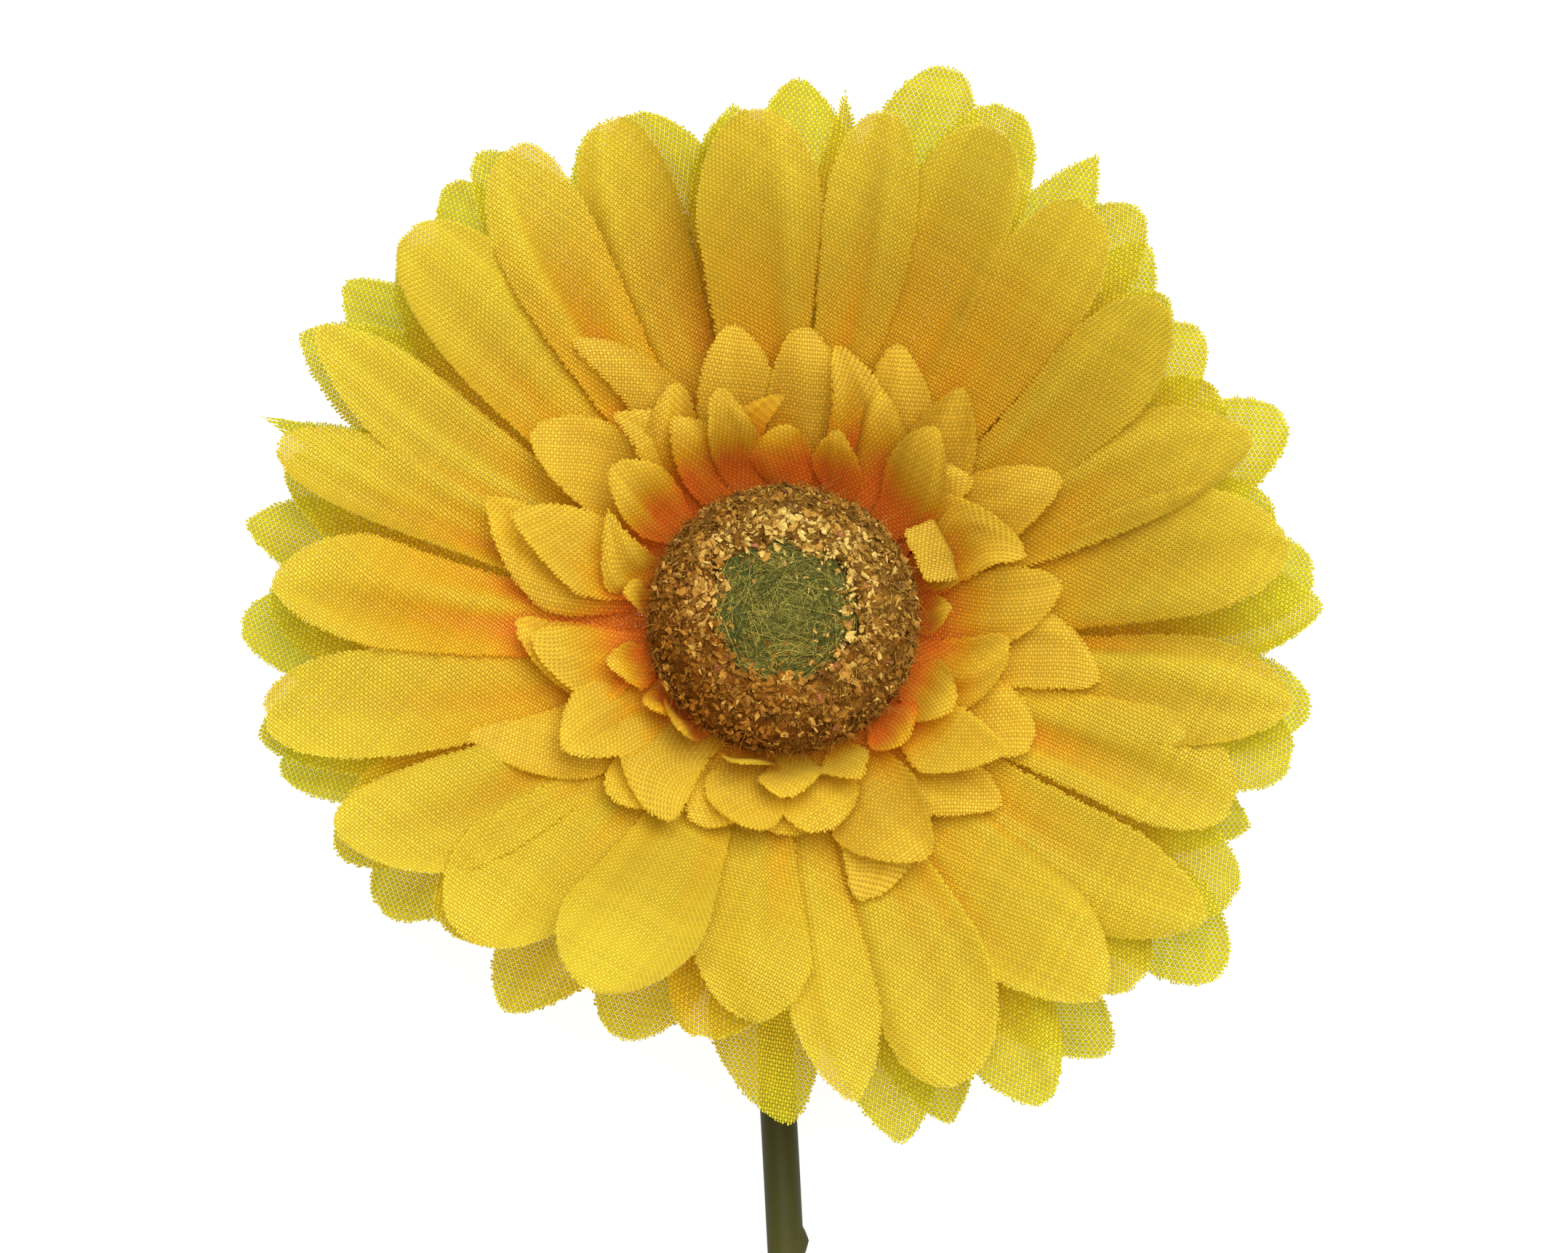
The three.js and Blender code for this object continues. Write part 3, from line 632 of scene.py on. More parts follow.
def dieAngles(tipAngle):
    # The die spaces the petals evenly, so their roots keep part of that even spacing. Also gives the space
    # of half a petal at root and tip.
    count = len(tipAngle)
    even = np.arange(count)[:, None, None] * 360 / count
    shifts = (tipAngle - even + 180) % 360 - 180
    common = shifts.mean()
    rootAngle = even + common + petalForm["rootTurnShare"] * (shifts - common)
    tipAngle = rootAngle + (tipAngle - rootAngle + 180) % 360 - 180
    spaces = (angleGap(np.roll(angle, 1, 0), np.roll(angle, -1, 0)) / 2 for angle in (rootAngle, tipAngle))
    return rootAngle, tipAngle, *spaces


def crossSlope(sheet, habits, along, across):
    # The slope across a petal in radians: its lean, cup, pressed ridges, curled edges and hem. Also gives
    # how deep in the ridges' valleys each point lies.
    relief = smoothStep(along, 0, 0.35)
    ridged = smoothStep(along, 0.02, 0.5) * (1 - 0.5 * smoothStep(along, 0.75, 1.0))
    opened = smoothStep(along, 0.3, 0.8)
    slope = (sheet["tilt"] * habits["tilt"] + sheet["cup"] * habits["cup"] * across) * relief
    valley = 0 * slope
    for k, (waves, strength) in enumerate(petalForm["ridges"]):
        phase = waves * np.pi * across + (habits["ridgePhases"][k] + habits["ridgeDrifts"][k] * along)
        amount = ridged * strength * (habits["ridging"] * habits["ridgeSlopes"][k])
        slope = slope + sheet["ridges"] * amount * np.cos(phase)
        valley = valley - amount * np.sin(phase)
    slope = slope + opened * habits["rightCurl"] * smoothStep(across, 0.4, 1.0)
    slope = slope - opened * habits["leftCurl"] * smoothStep(-across, 0.4, 1.0)
    slope = slope + relief * petalForm["hem"] * np.sign(across) * smoothStep(np.abs(across), 0.78, 1.0)
    return np.radians(slope), valley


def petalPoints(sheet, habits, droop):
    # The middle surface of every petal of a layer. Its centre line follows the pitch and its section the
    # slope across. Both are summed as unit steps, so the cloth keeps its length and its width. All grids
    # are petals by rows by columns.
    form, root, steps = petalForm, head["rootRadius"], petalForm["fineSteps"]
    table = np.array([(*petal, *(1, 0)[len(petal) - 2:]) for petal in sheet["petals"]], float)
    seenAngle, seenReach, width, lift = table.T[..., None, None]
    middle = form["standingMiddle"]
    away = np.minimum(angleGap(middle, seenAngle), angleGap(seenAngle, middle))
    standing = sheet["standing"] * (1 - smoothStep(away, 0, form["standingHalfWidth"]))
    lift = lift + habits["lift"] + standing - droop
    pitch = pitchAlong(sheet, habits, lift, (np.arange(steps)[:, None] + 0.5) / steps)
    out, up = runningSum(np.cos(pitch), 1) / steps, runningSum(np.sin(pitch), 1) / steps

    # The seen angle and reach are corrected for the lean, which shows what is raised further towards +Y.
    seen = np.radians(seenAngle)
    tipRise = up[:, -1:] / out[:, -1:] * (1 - root / seenReach)
    shift = (tipRise - head["discWidestHeight"] / seenReach) * np.sin(leanAngle)
    tipAngle = seen + np.arcsin(shift * np.sin(seen))
    reach = seenReach / (np.cos(tipAngle - seen) + shift * np.cos(seen))
    length = np.where(habits["length"] > 0, habits["length"], (reach - root) / out[:, -1:])
    rootAngle, tipAngle, rootSpace, tipSpace = dieAngles(np.degrees(tipAngle))

    along = rowShares(sheet["rows"], sheet["tip"])[:, None]
    across = np.linspace(-1, 1, sheet["columns"])
    place = np.minimum(along * steps, steps - 1e-9)
    index = place.astype(int)
    part, index = place - index, index[:, 0]
    lineOut, lineUp = (mix(line[:, index], line[:, index + 1], part) for line in (out, up))
    radius = root + length * lineOut
    turned = smoothStep(along)
    angle = np.radians(mix(rootAngle, tipAngle, turned) + habits["bow"] * np.sin(np.pi * along))

    # The width: the die's outline with its rounded or pointed tip, or less where neighbours leave no room.
    tip = np.clip((along - sheet["tip"]) / (1 - sheet["tip"]), 0, 1)
    point = habits["point"]
    rounding = (1 - tip ** (form["tipSquareness"] - 0.7 * point)) ** (0.5 + 0.25 * point)
    rounding = np.maximum(rounding, 0.03)
    body = mix(form["rootWidth"], 1, smoothStep(along, 0, sheet["body"]))
    cut = sheet["width"] * width / 2 * body * rounding
    space = np.radians(mix(rootSpace, tipSpace, turned)) * radius
    share = mix(form["rootShare"], sheet["share"], smoothStep(along, 0, 0.3))
    halfWidth = np.minimum(cut, share * space * np.maximum(rounding, 0.4))

    slope, valley = crossSlope(sheet, habits, along, across)
    midSlope = (slope[..., 1:] + slope[..., :-1]) / 2
    centre = sheet["columns"] // 2
    side, rise = (
        (line - line[..., centre, None]) * halfWidth
        for line in (runningSum(turn(midSlope) * np.diff(across), 2) for turn in (np.cos, np.sin))
    )
    skew = habits["skew"] * tip**2 * cut.max(axis=1, keepdims=True)
    pitch = pitchAlong(sheet, habits, lift, along)
    outward = radius - rise * np.sin(pitch)
    height = -sheet["depth"] * head["layerStep"] + length * lineUp + rise * np.cos(pitch)

    # The same petals on the flat cloth, for the weave, the dye, the painted shade and the frayed edge.
    flatRadius = root + length * along
    rootTurn = np.radians(rootAngle)
    # The red dye at the root, and a golden painted shade over the inner parts, which lie under the layers
    # above and down in the bowl.
    dyed = flatRadius + habits["dyeAndShadeShift"]
    gold = form["goldShade"] * (1 - smoothStep(dyed + 0.5 * habits["dyeAndShadeShift"], *sheet["gold"]))
    dye = np.maximum(1 - smoothStep(dyed, *sheet["dye"]), gold)
    return {
        "points": np.stack([*turnedOut(angle, outward, side + skew), height], axis=-1),
        "flat": np.stack(turnedOut(rootTurn, flatRadius, across * halfWidth + skew), axis=-1),
        "edge": np.minimum((1 - np.abs(across)) * halfWidth, (1 - along) * length),
        "facing": np.arctan2(across, 1.6 * tip**2 + 1e-6) + rootTurn,
        # The ridges' valleys get painted shade, a deeper dye and tint. The tint, which is painted shade
        # with a random deeper tone, fades towards the tip.
        "dye": dye + form["valleyWarmShade"] * valley * (1 - smoothStep(along, 0.35, 0.8)),
        "tint": habits["tint"] * (1 - 0.75 * smoothStep(along, 0.5, 1.0)) + form["valleyShadeTint"] * valley,
        "length": length,
    }


def legDroop(sheet, habits):
    # Two petals of the back layer carry the head: each droops until its underside touches the table. The
    # angle is found by halving its range 18 times.
    isLeg = np.isin([petal[0] for petal in sheet["petals"]], sheet["legs"])[:, None, None]
    low, high = 0.0 * isLeg, 30.0 * isLeg
    for _ in range(18):
        droop = (low + high) / 2
        points = fromHead(petalPoints(sheet, habits, droop)["points"])
        lowest = points[..., 2].min(axis=(1, 2), keepdims=True) - cloth["thickness"] / 2
        low = np.where(lowest > 0.02, droop, low)
        high = np.where(lowest > 0.02, high, droop)
    return low * isLeg


def makeSheet(sheet, material):
    # A whole die-cut layer: the petals and the ring of cloth inside them are one surface.
    habits = drawHabits(sheet)
    grids = petalPoints(sheet, habits, legDroop(sheet, habits) if sheet["legs"] else 0)
    root = head["rootRadius"]
    count, rows, columns = grids["edge"].shape
    first = count * rows * columns
    petalQuads = gridQuads(rows, columns)[None] + (np.arange(count) * rows * columns)[:, None, None]
    rim = (np.arange(count)[:, None] * rows * columns + np.arange(columns)[None]).ravel()

    # The ring inside the petals is their roots' rim drawn in towards the axis.
    ringRadii = np.linspace(head["holeRadius"], root, 5)[:-1]
    scales = (ringRadii / root)[:, None, None]
    points = grids["points"].reshape(-1, 3)
    flat = grids["flat"].reshape(-1, 2)
    ringPoints = points[rim][None] * [1, 1, 0] * scales + points[rim][None] * [0, 0, 1]
    ringNumbers = np.concatenate([first + np.arange(len(ringRadii) * len(rim)), rim])
    ringQuads = ringNumbers[gridQuads(len(ringRadii) + 1, len(rim), closed=True)]
    quads = np.concatenate([petalQuads.reshape(-1, 4), ringQuads])
    points = np.concatenate([points, ringPoints.reshape(-1, 3)])
    flat = np.concatenate([flat, (flat[rim][None] * scales).reshape(-1, 2)])

    def withRing(values, ringValue):
        return np.concatenate([values.ravel(), np.full(len(ringRadii) * len(rim), ringValue)])

    # At the root the cloth isn't cut, so the fray starts a little further out.
    edge = withRing(grids["edge"], 2.0)
    nearRoot = smoothStep(np.hypot(*flat.T), root, root + 1)
    edge = np.where(nearRoot < 1, np.maximum(edge, 1 - nearRoot), edge)
    turn = np.radians(sheet["grain"])
    facing = withRing(grids["facing"], 0.0) - turn
    family = (np.abs(np.sin(facing)) > np.abs(np.cos(facing))).astype(float)
    woven = np.stack(
        [
            flat[:, 0] * np.cos(turn) - flat[:, 1] * np.sin(turn),
            flat[:, 0] * np.sin(turn) + flat[:, 1] * np.cos(turn),
            edge,
        ],
        axis=1,
    )
    marks = np.stack([withRing(grids["dye"], 1.0), withRing(grids["tint"], 0.0), family], axis=1)
    both, faces = thicken(fromHead(points), quads, cloth["thickness"])
    attributes = {"cloth": np.tile(woven, (2, 1)), "grain": np.tile(marks, (2, 1))}
    made = buildObject(sheet["name"], both, faces, material, attributes, flatGroups=(2,))
    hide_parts(sheet["node"])


cloths = {key: clothMaterial(f"{key} cloth", kind) for key, kind in cloth["kinds"].items()}


# Disc

disc = {
    "thickness": 0.9,  # mm of the crumb ring
    # The outside of the ring from its foot to the edge of its opening, as (radius, height).
    "ring": (
        (11.8, 1.0), (13.2, 2.3), (13.7, 4.2), (13.2, 6.1), (12.1, 7.8), (10.3, 9.3), (8.4, 9.95),
        (6.9, 10.0),
    ),
    # The felted bun from the hole under it to its top.
    "bun": (
        (2.3, 0.65), (10.5, 0.65), (11.2, 2.0), (12.2, 4.2), (11.6, 6.4), (10.4, 8.0), (8.6, 8.9),
        (8.0, 9.1), (6.0, 9.45), (4.0, 9.6), (2.0, 9.68), (0.15, 9.7),
    ),
    "ringGrid": (44, 300),  # rows and columns
    "bunGrid": (60, 220),
    # Lumps are (depth, size, seed of the noise).
    "ringLumps": ((0.3, 1.5, 1), (0.3, 0.7, 2), (0.15, 0.35, 3)),
    "bunLumps": ((0.16, 2.4, 21), (0.1, 0.8, 22), (0.05, 0.35, 23)),
    "flakes": 5200,
    "flakeSizes": (0.25, 0.85),
    "strayFlakes": 150,  # that lie on the felt
    "straySizes": (0.2, 0.5),
    "hairs": 3600,
    "hairLengths": (0.4, 1.3),
    "hairRadii": (0.022, 0.05),
    "feltFibres": 2200,
    "feltLengths": (1.5, 4.5),
    "feltRadii": (0.03, 0.05),
    "feltReach": 7.4,  # mm from the axis to which felt shows
    "seed": 31,
    "shadedSide": 218,  # degrees: ring and felt are browner on this side, and the ring darker: painted shade of the side away from the light, over some brown of their own
    # Colours, where there are two from dark to light.
    "bedTones": ((0.1, 0.04, 0.006), (0.36, 0.18, 0.03)),
    "hairTones": ((0.22, 0.09, 0.012), (0.72, 0.46, 0.1)),
    "fibreTones": ((0.06, 0.075, 0.014), (0.76, 0.66, 0.14)),
    "brown": (0.25, 0.1, 0.01),
    "tan": (0.6, 0.36, 0.08),
    "cream": (0.85, 0.66, 0.22),
    "pink": (0.38, 0.16, 0.09),
}
ringProfile, bunProfile = np.array(disc["ring"]), np.array(disc["bun"])


def alongProfile(profile, shares):
    # Points at shares of a profile's length, with its corners rounded by a smooth blend of three places.
    steps = np.hypot(*np.diff(profile, axis=0).T)
    lengths = np.concatenate([[0], np.cumsum(steps)])

    def plain(share):
        place = np.clip(share, 0, 1) * lengths[-1]
        return np.stack([np.interp(place, lengths, profile[:, k]) for k in (0, 1)], axis=-1)

    return (plain(shares - 0.05) + 2 * plain(shares) + plain(shares + 0.05)) / 4


def lineAndNormal(profile, shares):
    # Places on a profile, and outwards there: the step along it turned a quarter, (r, h) to (h, -r)
    step = unit(alongProfile(profile, shares + 0.01) - alongProfile(profile, shares - 0.01))
    return alongProfile(profile, shares), np.stack([step[..., 1], -step[..., 0]], axis=-1)


def roundHead(angle, radiusAndHeight):
    # (radius, height) pairs turned round the head's axis, clockwise from +Y
    radius, height = radiusAndHeight[..., 0], radiusAndHeight[..., 1]
    return np.stack([radius * np.sin(angle), radius * np.cos(angle), height], axis=-1)


def crumbMaterial():
    # Each crumb's own tone, darker in specks, and a rough broken surface
    material, tree = newMaterial("glued crumbs")
    tone, place = toneAndPlace(tree)
    fine = noise(tree, place, 2600.0, 4.0, 0.65)
    darker = tinted(tree, tone, (0.55, 0.5, 0.45, 1))
    surface = {
        "Base Color": blend(tree, mapped(tree, fine, 0.35, 0.7), darker, tone),
        "Roughness": mapped(tree, noise(tree, place, 900.0, 3.0), 0.3, 0.7, 0.8, 1.0),
        "Normal": bump(tree, fine, 0.0002, 0.8),
        "Specular IOR Level": 0.06,
    }
    return finished(material, principled(tree, surface))


def fibreMaterial():
    # Each fibre's own tone, and three tenths of the light passes through it
    material, tree = newMaterial("felt fibre")
    tone, place = toneAndPlace(tree)
    rough = mapped(tree, noise(tree, place, 1500.0, 2.0), 0.3, 0.7, 0.55, 0.8)
    surface = principled(tree, {"Base Color": tone, "Roughness": rough, "Specular IOR Level": 0.12})
    through = addNode(tree, "BsdfTranslucent", {"Color": tone}).outputs[0]
    return finished(material, mixShader(tree, 0.3, surface, through))


def feltMaterial():
    # The mean of two sizes of noise runs from nearly black green through moss to straw.
    material, tree = newMaterial("green felt")
    place = objectPlace(tree)
    fine = noise(tree, place, 2400.0, 5.0, 0.7)
    share = times(tree, plus(tree, noise(tree, place, 260.0, 3.0), fine), 0.5)
    stops = [(0.36, (0.02, 0.027, 0.007)), (0.5, (0.066, 0.073, 0.016)), (0.62, (0.18, 0.155, 0.032))]
    surface = {
        "Base Color": ramp(tree, share, stops),
        "Roughness": mapped(tree, fine, 0.3, 0.7, 0.85, 1.0),
        "Specular IOR Level": 0.08,
        "Normal": bump(tree, fine, 0.0003, 0.9),
    }
    return finished(material, principled(tree, surface))


def lumpsOf(points, lumps):
    # Several sizes of noise, each times its depth, added up
    return sum(depth * softNoise(points, size, seed) for depth, size, seed in lumps)


def toned(pair, share):
    # Colours between two, with a fourth channel of 1
    dark, light = (np.array([*colour, 1]) for colour in pair)
    return mix(dark, light, share[:, None])


def towardsShadedSide(angle):
    # 1 on the side away from the light and 0 opposite it, by half a cosine
    return 0.5 + 0.5 * np.cos(angle - np.radians(disc["shadedSide"]))


def mossAndShade(angle, share):
    # The ring is browner and darker round its lower left side and down its flank: painted shade of the side
    # away from the light, over some brown of its own.
    low = towardsShadedSide(angle) ** 1.2 * (1 - 0.4 * smoothStep(share, 0.5, 0.95))
    return mix(np.array([1.05, 1.03, 0.9]), np.array([0.8, 0.55, 0.27]), low[..., None])


def crumbTone(rng, share, angle):
    # Brown to tan crumbs, with cream flakes gathered near the opening and in patches elsewhere, dark moss
    # in other patches, and a few pinkish ones
    count = len(share)
    ringPlace = 14 * np.stack([np.sin(angle), np.cos(angle), share], axis=-1)
    palePatch = smoothStep(softNoise(ringPlace, 2.2, 51), 0.0, 0.6)
    darkPatch = smoothStep(softNoise(ringPlace, 1.6, 52), 0.0, 0.6)
    brown, tan, cream, pink = (np.array(disc[name]) for name in ("brown", "tan", "cream", "pink"))
    pick = rng.random(count)
    # More cream flakes towards the opening, most of them towards +Y.
    creamShare = 0.09 + 0.48 * smoothStep(share, 0.66, 0.92) * (0.4 + 0.6 * np.cos(angle - 0.1))
    creamShare = creamShare + 0.2 * palePatch
    tone = mix(brown, tan, rng.random((count, 1)) ** 0.9)
    tone = np.where((pick < creamShare)[:, None], mix(tan, cream, rng.uniform(0.3, 1, (count, 1))), tone)
    tone = np.where((pick > 0.97)[:, None], pink * rng.uniform(0.8, 1.4, (count, 1)), tone)
    # Darker and browner on the side away from the light: painted shade over some brown of their own.
    tone = tone * mossAndShade(angle, share) * (1 - 0.5 * darkPatch * (pick > creamShare))[:, None]
    return np.concatenate([tone, np.ones((count, 1))], axis=1)


def openingShift(angle):
    # The ring's opening is a ragged rounded square, and its upper corners are the widest.
    corner = np.maximum(0, -np.cos(4 * angle)) ** 1.5
    ragged = 0.5 * np.sin(7 * angle + 1) + 0.35 * np.sin(13 * angle + 2) + 0.25 * np.sin(23 * angle)
    return 0.8 + 0.9 * corner * (0.6 + 0.4 * np.cos(angle + 0.2)) + 0.8 * ragged


def turnFrames(normal, rng, spread):
    # Three axes for each crumb: a normal that strays from the surface's own, and two square to it
    stray = unit(normal + rng.normal(0, spread, normal.shape))
    aside = unit(np.cross(stray, rng.normal(0, 1, normal.shape)))
    return stray, aside, np.cross(stray, aside)


def makeFlakes(name, centres, normal, sizes, tones, rng, spread, material):
    # Each flake is a flat ragged chip: five corners round a high and a low middle point.
    count = len(centres)
    up, aside, onward = turnFrames(normal, rng, spread)
    turns = turnsOf(5) + rng.uniform(-0.45, 0.45, (count, 5))
    reach = rng.uniform(0.55, 1.0, (count, 5)) * sizes[:, None]
    narrow = rng.uniform(0.35, 0.9, (count, 1))
    x, y = reach * np.cos(turns), reach * np.sin(turns) * narrow
    bend = rng.normal(0, 0.12, (count, 5)) * sizes[:, None]
    corners = centres[:, None] + x[..., None] * aside[:, None] + y[..., None] * onward[:, None]
    corners = corners + bend[..., None] * up[:, None]
    thick = (0.16 * sizes)[:, None] * up
    points = np.concatenate([corners, (centres + thick)[:, None], (centres - thick)[:, None]], axis=1)
    ring = np.arange(5)
    after = (ring + 1) % 5
    faces = [np.stack([ring, after, ring * 0 + 5], axis=1), np.stack([after, ring, ring * 0 + 6], axis=1)]
    faces = (np.concatenate(faces)[None] + (np.arange(count) * 7)[:, None, None]).reshape(-1, 3)
    attributes = {"tone": np.repeat(tones, 7, axis=0)}
    return buildObject(name, fromHead(points.reshape(-1, 3)), [faces], material, attributes, (0,))


def makeFibres(name, starts, directions, bends, lengths, radii, tones, material, segments):
    # Each fibre is a thin three-sided thread along a curve: start + length (direction s + bend s^2).
    count = len(starts)
    share = np.linspace(0, 1, segments)[None, :, None]
    reach = lengths[:, None, None] * share
    line = starts[:, None] + (directions[:, None] + bends[:, None] * share) * reach
    tangent = unit(directions[:, None] + 2 * bends[:, None] * share)
    aside = unit(np.cross(tangent, [0.31, 0.17, 0.93]))
    other = np.cross(tangent, aside)
    turns = turnsOf(3)[:, None]
    taper = ((1 - 0.55 * share) * radii[:, None, None])[:, :, None]
    turned = np.cos(turns) * aside[:, :, None] + np.sin(turns) * other[:, :, None]
    ring = line[:, :, None] + taper * turned
    quads = gridQuads(segments, 3, closed=True)
    last = 3 * (segments - 1)
    caps = np.array([[0, 2, 1], [last, last + 1, last + 2]])
    offset = (np.arange(count) * 3 * segments)[:, None, None]
    faces = [(quads[None] + offset).reshape(-1, 4), (caps[None] + offset).reshape(-1, 3)]
    attributes = {"tone": np.repeat(tones, 3 * segments, axis=0)}
    return buildObject(name, fromHead(ring.reshape(-1, 3)), faces, material, attributes)


def makeRing(crumbs):
    # The bed of the ring: its profile carried round the axis, roughened by three sizes of lumps, with an
    # inner wall that closes it underneath.
    rows, columns = disc["ringGrid"]
    shares = np.linspace(0, 1, rows)
    angles = turnsOf(columns)
    line, normal = lineAndNormal(ringProfile, shares)
    even = roundHead(angles[None], np.repeat(line[:, None], columns, axis=1))
    lumps = (lumpsOf(even, disc["ringLumps"]) - 0.3) * smoothStep(shares, 0, 0.08)[:, None]
    opened = softNoise(even * np.array([1, 1, 0]), 3.2, 5) + 0.6 * softNoise(even, 1.1, 6)
    inward = smoothStep(shares, 0.7, 1)[:, None] * (opened + openingShift(angles)[None])
    outer = line[:, None] + normal[:, None] * lumps[..., None] + np.stack([inward, inward * 0], axis=-1)
    under = line[::-1][::3] - normal[::-1][::3] * disc["thickness"]
    rings = np.concatenate([outer, np.repeat(under[:, None], columns, axis=1)])
    points = roundHead(angles[None], rings).reshape(-1, 3)
    quads = closedLoop(len(rings), columns)[:, ::-1]
    tone = toned(disc["bedTones"], 0.5 + 0.5 * softNoise(points, 0.7, 9))
    around = np.arctan2(points[:, 0], points[:, 1])
    # Darker and browner on the side away from the light: painted shade over some brown of the bed's own.
    tone[:, :3] *= mossAndShade(around, np.full(len(around), 0.5))
    bed = buildObject("crumb_bed", fromHead(points), [quads], crumbs, {"tone": tone})
    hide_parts("crumb_ring")


def makeBun(felt):
    # The felted bun: its profile carried round the axis and roughened where it shows in the opening.
    rows, columns = disc["bunGrid"]
    shares = np.linspace(0, 1, rows)
    angles = turnsOf(columns)
    line, normal = lineAndNormal(bunProfile, shares)
    line[-1], normal[-1] = bunProfile[-1], (0, 1)
    even = roundHead(angles[None], np.repeat(line[:, None], columns, axis=1))
    lumps = lumpsOf(even, disc["bunLumps"]) * (smoothStep(shares, 0.55, 0.75) * (shares < 1))[:, None]
    points = roundHead(angles[None], line[:, None] + normal[:, None] * lumps[..., None]).reshape(-1, 3)
    quads = gridQuads(rows, columns, closed=True)[:, ::-1]
    rim = np.arange(columns)[None]
    faces = [quads, rim, rim[:, ::-1] + (rows - 1) * columns]
    bun = buildObject("felt_bun", fromHead(points), faces, felt)
    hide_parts("disc_core")


def onFelt(angle, radius, above):
    # Places just above the felt's top
    top = bunProfile[:-7:-1]
    height = np.interp(radius, top[:, 0], top[:, 1]) + above
    return roundHead(angle, np.stack([radius, height], axis=1))


def strewFlakes(rng, crumbs):
    # Flakes over the whole ring, closer together and paler near the opening
    count = disc["flakes"]
    share = rng.random(count) ** 0.8
    angle = rng.uniform(0, 2 * np.pi, count)
    line, normal = lineAndNormal(ringProfile, share)
    inward = np.where(share > 0.9, rng.uniform(-1.8, 0.2, count), 0)
    inward = inward + smoothStep(share, 0.7, 1) * openingShift(angle)
    line = line + np.stack([inward, -0.15 * (inward < 0)], axis=1)
    line = line + normal * rng.uniform(-0.25, 0.2, (count, 1))
    sizes = mix(*disc["flakeSizes"], rng.random(count) ** 2.0) * mix(0.95, 1.1, smoothStep(share, 0.5, 1))
    tones = crumbTone(rng, share, angle)
    centres, outwards = roundHead(angle, line), roundHead(angle, normal)
    flakes = makeFlakes("crumb_flakes", centres, outwards, sizes, tones, rng, 0.65, crumbs)


def strewStrays(rng, crumbs):
    # A few flakes on the felt, most of them near the ring
    count = disc["strayFlakes"]
    angle = rng.uniform(0, 2 * np.pi, count)
    radius = disc["feltReach"] * np.sqrt(rng.uniform(0.05, 1, count) ** 0.6)
    centres, upwards = onFelt(angle, radius, 0.12), np.tile([0.0, 0.0, 1.0], (count, 1))
    tones = crumbTone(rng, np.full(count, 0.9), angle)
    sizes = rng.uniform(*disc["straySizes"], count)
    strays = makeFlakes("stray_flakes", centres, upwards, sizes, tones, rng, 0.5, crumbs)


def growHairs(rng, fibres):
    # Fine hairs that stand out of the crumbs every way
    count = disc["hairs"]
    share, angle = rng.random(count), rng.uniform(0, 2 * np.pi, count)
    line, normal = lineAndNormal(ringProfile, share)
    line[:, 0] += smoothStep(share, 0.7, 1) * openingShift(angle)
    directions = unit(roundHead(angle, normal) * 0.15 + rng.normal(0, 0.6, (count, 3)))
    tones = toned(disc["hairTones"], rng.random(count) ** 1.3)
    # Darker and browner on the side away from the light: painted shade over some brown of their own, as on
    # the crumbs.
    tones[:, :3] *= mossAndShade(angle, share)
    bends = rng.normal(0, 0.5, (count, 3))
    lengths, radii = (rng.uniform(*disc[name], count) for name in ("hairLengths", "hairRadii"))
    starts = roundHead(angle, line)
    hairs = makeFibres("crumb_hairs", starts, directions, bends, lengths, radii, tones, fibres, 5)


def layFeltFibres(rng, fibres):
    # Longer fibres that lie on the felt every way. One that would run outwards is turned about, so that it
    # stays inside the opening.
    count = disc["feltFibres"]
    angle = rng.uniform(0, 2 * np.pi, count)
    radius = disc["feltReach"] * np.sqrt(rng.random(count))
    starts = onFelt(angle, radius, 0.06)
    turn = rng.uniform(0, 2 * np.pi, count)
    directions = np.stack([np.cos(turn), np.sin(turn), rng.uniform(0, 0.12, count)], axis=1)
    outbound = (directions[:, :2] * starts[:, :2]).sum(axis=1) > 0
    directions[:, :2] *= np.where(outbound, -1, 1)[:, None]
    bends = np.concatenate([rng.normal(0, 0.35, (count, 2)), np.full((count, 1), -0.05)], axis=1)
    tones = toned(disc["fibreTones"], rng.random(count) ** 2.0)
    # Towards the ring on the lower left side the fibres are browner.
    browner = (towardsShadedSide(angle) * radius / disc["feltReach"])[:, None]
    tones[:, :3] *= mix(np.array([0.88, 0.88, 0.86]), np.array([1.25, 1.08, 0.9]), browner)
    lengths, radii = (rng.uniform(*disc[name], count) for name in ("feltLengths", "feltRadii"))
    threads = makeFibres("felt_fibres", starts, directions, bends, lengths, radii, tones, fibres, 7)


def makeDisc():
    # The ring and the bun, then what lies on them, from one run of random numbers
    rng = np.random.default_rng(disc["seed"])
    crumbs, fibres = crumbMaterial(), fibreMaterial()
    makeRing(crumbs)
    makeBun(feltMaterial())
    strewFlakes(rng, crumbs)
    strewStrays(rng, crumbs)
    growHairs(rng, fibres)
    layFeltFibres(rng, fibres)
    print("disc: ring, bun, flakes and fibres made")


# Calyx

calyx = {
    "top": -5.1,  # mm below the head's middle
    "height": 6.6,
    "radius": 8.6,
    "rimThickness": 0.7,
    "neckRadius": 3.1,
    "bore": 2.18,
    "sepals": 12,
    "sepalReach": 4.2,
    "rib": 0.2,
    "columns": 384,
    "crease": 38,  # degrees: sharper edges stay sharp
    "tones": ((0.07, 0.085, 0.02, 1), (0.11, 0.13, 0.035, 1)),
    "roughness": 0.5,
    "patches": 120.0,  # to the metre
}


